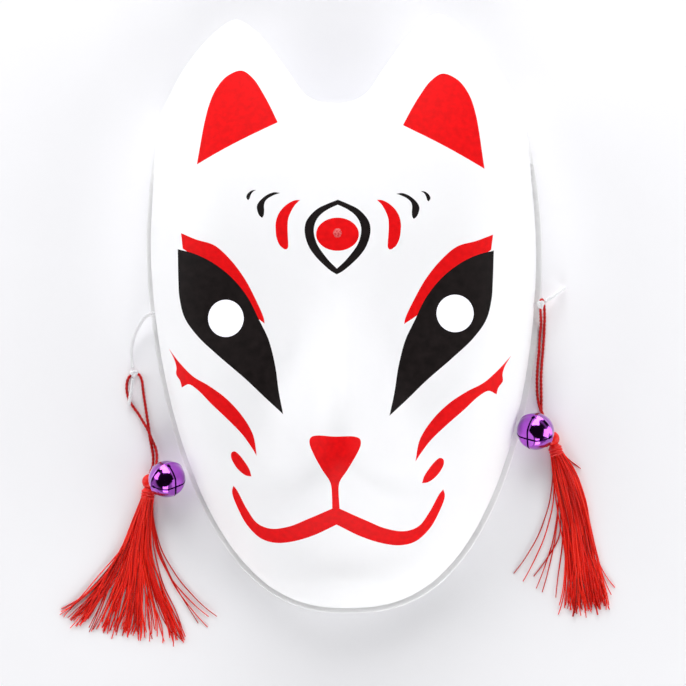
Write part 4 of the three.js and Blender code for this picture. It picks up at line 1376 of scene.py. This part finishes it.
def skirt_strands(tassels, fan, strays, steps):
    """Paths of all strands of one skirt, from the collar's round bundle down to layers on the floor."""
    rng = np.random.default_rng(fan["seed"])
    count = tassels.strands
    clumps = fan["clumps"]
    clump_lean = np.linspace(-1, 1, clumps) + rng.normal(0, CLUMP_SCATTER, clumps)
    clump_bend = rng.normal(0, 1, (clumps, 5)) * CLUMP_BENDS
    own = rng.integers(0, clumps, count)
    lean = clump_lean[own] + rng.normal(0, STRAND_SCATTER, count)
    fanned = np.sign(lean) * np.abs(lean) ** FAN_POWER
    headings = np.array(fan["bend"]) + fanned[:, None] * fan["spread"] + clump_bend[own]
    headings += rng.normal(0, 1, (count, 5)) * STRAND_BENDS
    uneven = 1 + LENGTH_SCATTER * rng.normal(size=count) - LENGTH_LOSS * np.abs(rng.normal(size=count))
    lengths = fan["length"] * uneven
    lengths *= 1 + fan["flare"] * np.clip(lean, -1, 1) ** 2
    round_place = rng.uniform(0, 1, count) ** 0.5
    across = np.clip(0.75 * lean + rng.normal(0, 0.35, count), -1, 1) * round_place
    rise = rng.uniform(-1, 1, count) * np.sqrt(1 - across ** 2)
    layer = rng.uniform(0, 1, count)
    loose = np.array([place for place, _, _ in strays])
    across = np.concatenate([across, loose])
    rise = np.concatenate([rise, np.zeros(len(strays))])
    layer = np.concatenate([layer, rng.uniform(0.1, 0.6, len(strays))])
    headings = np.radians(np.concatenate([headings, [turns for _, turns, _ in strays]]))
    lengths = np.concatenate([lengths, [length for _, _, length in strays]]) * MM
    bundle = tassels.collar / 2 - tassels.strand / 2
    starts = np.stack([across * bundle, np.full(len(across), head_reach(tassels) - 0.6 * MM)], -1)
    x, y = strand_paths(starts, headings, lengths, steps)
    t = np.linspace(0, 1, steps)[None, :]
    high = tassels.ball / 2 + rise[:, None] * bundle
    rest = tassels.strand / 2 + layer[:, None] * (PILE - PILE_LOSS * t) * MM
    settle = smoothstep(0, COMING_DOWN, t)
    lift = WAVE_HEIGHT * np.sin(2 * pi * (WAVES * t + rng.uniform(0, 1, (len(across), 1)))) * t
    z = np.maximum(high * (1 - settle) + rest * settle + lift, tassels.strand / 2)
    tones = np.clip(0.5 + 0.26 * rng.normal(size=len(across)), 0, 1)
    tones[count:] *= 0.5
    return np.stack([x, y, z], -1), tones


def build_skirt(tassels, side, material, steps=30, sides=5):
    """Every strand as a thin tube of five sides, slightly thinner at its tip, all in one mesh."""
    paths, tones = skirt_strands(tassels, FANS[side], STRAYS[side], steps)
    count = len(paths)
    along = unit(np.gradient(paths, axis=1))
    across = unit(np.cross(along, [0, 0, 1]))
    up = np.cross(across, along)
    turn = np.arange(sides) * 2 * pi / sides
    radius = tassels.strand / 2 * (1 - 0.25 * smoothstep(0.7, 1, np.linspace(0, 1, steps)))
    ring = across[:, :, None] * np.cos(turn)[:, None] + up[:, :, None] * np.sin(turn)[:, None]
    local = paths[:, :, None] + radius[:, None, None] * ring
    axes, place = tassel_frame(side)
    points = local.reshape(-1, 3) @ axes + place
    single = tube_faces(steps, sides)
    offsets = (np.arange(count) * steps * sides)[:, None, None]
    faces = [(block[None] + offsets).reshape(-1, block.shape[1]) for block in single]
    way = np.linspace(0, 1, steps) * FANS[side]["length"] * MM
    one = tube_uv(steps, sides, way)
    parts = [one[:-2 * sides], one[-2 * sides:-sides], one[-sides:]]
    uv = np.concatenate([np.tile(part, (count, 1)) for part in parts])
    piece = make_piece(f"tassel_strands_{side}", points, faces, [material], uv=uv, sharp=radians(80))
    put_tone(piece, np.repeat(tones, steps * sides))
    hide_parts(f"tassel_skirt_{side}")


# The stage

# The oval of floor that the light under the mask falls on: half width, half length and its middle's Y
LIT_OVAL = (0.08, 0.108)
LIT_MIDDLE = -0.012


def floor_paint():
    """Pale matt paper with the faintest grain. A faint glow inside the mask's outline stands for the light
    that the thin plastic lets through."""
    material, tree, shader = new_material("pale_floor")
    grain = add_noise(tree, 60)
    vary_colour(tree, shader, grain.outputs["Fac"], (0.95, 0.948, 0.972), 0.995, 1.005)
    vary_roughness(tree, shader, grain.outputs["Fac"], 0.75, 0.85)
    add_bump(tree, shader, grain.outputs["Fac"], 0.01 * MM)
    set_plain(shader, Specular_IOR_Level=0.1, Emission_Strength=1.0)
    place = tree.nodes.new("ShaderNodeTexCoord")
    oval = tree.nodes.new("ShaderNodeMapping")
    oval.inputs["Scale"].default_value = (1 / LIT_OVAL[0], 1 / LIT_OVAL[1], 1)
    oval.inputs["Location"].default_value = (0, -LIT_MIDDLE / LIT_OVAL[1], 0)
    fade = tree.nodes.new("ShaderNodeTexGradient")
    fade.gradient_type = "SPHERICAL"
    tree.links.new(place.outputs["Object"], oval.inputs["Vector"])
    tree.links.new(oval.outputs["Vector"], fade.inputs["Vector"])
    glow = add_ramp(tree, fade.outputs["Fac"], [(0.0, (0, 0, 0)), (0.12, (0.46, 0.46, 0.48))])
    tree.links.new(glow.outputs["Color"], shader.inputs["Emission Color"])
    return material


# Low soft lights on four sides, the strongest beyond the ears: places and sizes in metres, powers in watts
LIGHTS = {
    "back_light": {"place": (0, 1.1, 0.6), "size": 1.0, "power": 16.4},
    "left_light": {"place": (-1.05, 0.35, 0.45), "size": 0.8, "power": 5.9},
    "right_light": {"place": (1.1, -0.2, 0.45), "size": 0.8, "power": 6.6},
    "low_light": {"place": (0, -1.15, 0.5), "size": 0.9, "power": 10.1},
}


def add_soft_light(name, place, size, power):
    """A square soft light that faces the middle of the mask."""
    light = bpy.data.lights.new(name, "AREA")
    light.size = size
    light.energy = power
    holder = bpy.data.objects.new(name, light)
    holder.location = place
    holder.rotation_euler = (-Vector(place)).to_track_quat("-Z", "Y").to_euler()
    bpy.context.scene.collection.objects.link(holder)


def build_camera():
    """A camera at the photograph's place, aimed and rolled as found from its outline and eye holes."""
    place = np.array(CAMERA_PLACE) * MM
    back = unit(place - np.array(CAMERA_AIM) * MM)
    right = unit(np.cross([0, 1, 0], back))
    up = np.cross(back, right)
    turned_right = cos(CAMERA_ROLL) * right - sin(CAMERA_ROLL) * up
    turned_up = sin(CAMERA_ROLL) * right + cos(CAMERA_ROLL) * up
    camera = bpy.data.cameras.new("camera")
    camera.sensor_width = SENSOR_WIDTH
    camera.lens = FOCAL_PIXELS / PHOTO_SIZE * SENSOR_WIDTH
    camera.clip_start = 0.01
    holder = bpy.data.objects.new("camera", camera)
    holder.matrix_world = Matrix(np.column_stack([turned_right, turned_up, back, place]).tolist()).to_4x4()
    bpy.context.scene.collection.objects.link(holder)
    bpy.context.scene.camera = holder


def build_stage():
    """A square of floor, the lights and a dim surround."""
    reach = 1.5
    corners = np.array([[-reach, -reach, 0], [reach, -reach, 0], [reach, reach, 0], [-reach, reach, 0]])
    mesh = bpy.data.meshes.new("floor")
    mesh.from_pydata(corners.tolist(), [], [(0, 1, 2, 3)])
    mesh.materials.append(floor_paint())
    floor = bpy.data.objects.new("floor", mesh)
    bpy.context.scene.collection.objects.link(floor)
    for name, light in LIGHTS.items():
        add_soft_light(name, **light)
    bpy.context.scene.world = surround()
    bpy.context.scene.view_settings.view_transform = "Standard"


def surround():
    """Pale studio walls under a dark ceiling, which the bells show in their middles."""
    world = bpy.data.worlds.new("surround")
    world.use_nodes = True
    tree = world.node_tree
    background = tree.nodes["Background"]
    place = tree.nodes.new("ShaderNodeTexCoord")
    split = tree.nodes.new("ShaderNodeSeparateXYZ")
    tree.links.new(place.outputs["Generated"], split.inputs["Vector"])
    walls, ceiling = (0.96, 0.97, 1), (0.02, 0.02, 0.02)
    tones = add_ramp(tree, split.outputs["Z"], [(0.3, walls), (0.5, ceiling)])
    tree.links.new(tones.outputs["Color"], background.inputs["Color"])
    background.inputs["Strength"].default_value = 0.52
    return world


# Operators, panel and registration

class KITSUNE_OT_stage(bpy.types.Operator):
    """Add the camera, the floor and the lights"""
    bl_idname = "kitsune.stage"
    bl_label = "Stage"

    def execute(self, context):
        build_camera()
        build_stage()
        return {"FINISHED"}


class KITSUNE_OT_mask(bpy.types.Operator):
    """Add the moulded mask with its print"""
    bl_idname = "kitsune.mask"
    bl_label = "Moulded mask"

    def execute(self, context):
        build_mask(context.scene.kitsune_mask)
        return {"FINISHED"}


class KITSUNE_OT_bells(bpy.types.Operator):
    """Add the two jingle bells"""
    bl_idname = "kitsune.bells"
    bl_label = "Jingle bells"

    def execute(self, context):
        bells, cords = context.scene.kitsune_bells, context.scene.kitsune_cords
        material = purple_metal(bells)
        for side in SIDES:
            build_bell(bells, cords, material, side)
        return {"FINISHED"}


class KITSUNE_OT_tassels(bpy.types.Operator):
    """Add the knots and loose strands of the two tassels"""
    bl_idname = "kitsune.tassels"
    bl_label = "Tassels"

    def execute(self, context):
        tassels = context.scene.kitsune_tassels
        material = red_silk(tassels)
        for side in SIDES:
            build_head(tassels, side, material)
            build_skirt(tassels, side, material)
        return {"FINISHED"}


class KITSUNE_OT_cords(bpy.types.Operator):
    """Add the elastic with its knots, and the red cord loops that carry the bells and tassels"""
    bl_idname = "kitsune.cords"
    bl_label = "Elastic and red cords"

    def execute(self, context):
        cords = context.scene.kitsune_cords
        if "jingle_bell_left" not in bpy.data.objects or "tassel_knot_left" not in bpy.data.objects:
            raise RuntimeError("the bells and tassels come before the cords that carry them")
        build_elastic(cords)
        build_loops(cords)
        return {"FINISHED"}


class KITSUNE_PT_panel(bpy.types.Panel):
    """Lists the sizes and the buttons that build each group of pieces"""
    bl_idname = "KITSUNE_PT_panel"
    bl_label = "Kitsune mask"
    bl_space_type = "VIEW_3D"
    bl_region_type = "UI"
    bl_category = "Kitsune mask"

    def draw(self, context):
        layout = self.layout
        for group in GROUPS:
            box = layout.box()
            settings = getattr(context.scene, group)
            for name in settings.bl_rna.properties.keys():
                if name not in ("rna_type", "name"):
                    box.prop(settings, name)
        for operator in OPERATORS:
            layout.operator(operator.bl_idname)


GROUPS = {
    "kitsune_mask": MaskSizes,
    "kitsune_cords": CordSizes,
    "kitsune_bells": BellSizes,
    "kitsune_tassels": TasselSizes,
}
OPERATORS = (KITSUNE_OT_stage, KITSUNE_OT_mask, KITSUNE_OT_bells, KITSUNE_OT_tassels, KITSUNE_OT_cords)


def register():
    for group in GROUPS.values():
        bpy.utils.register_class(group)
    for name, group in GROUPS.items():
        setattr(bpy.types.Scene, name, PointerProperty(type=group))
    for operator in OPERATORS:
        bpy.utils.register_class(operator)
    bpy.utils.register_class(KITSUNE_PT_panel)


def unregister():
    bpy.utils.unregister_class(KITSUNE_PT_panel)
    for operator in reversed(OPERATORS):
        bpy.utils.unregister_class(operator)
    for name in GROUPS:
        delattr(bpy.types.Scene, name)
    for group in reversed(GROUPS.values()):
        bpy.utils.unregister_class(group)


def main():
    register()
    bpy.ops.kitsune.stage()
    bpy.ops.kitsune.mask()
    bpy.ops.kitsune.bells()
    bpy.ops.kitsune.tassels()
    bpy.ops.kitsune.cords()


if __name__ == "__main__":
    main()
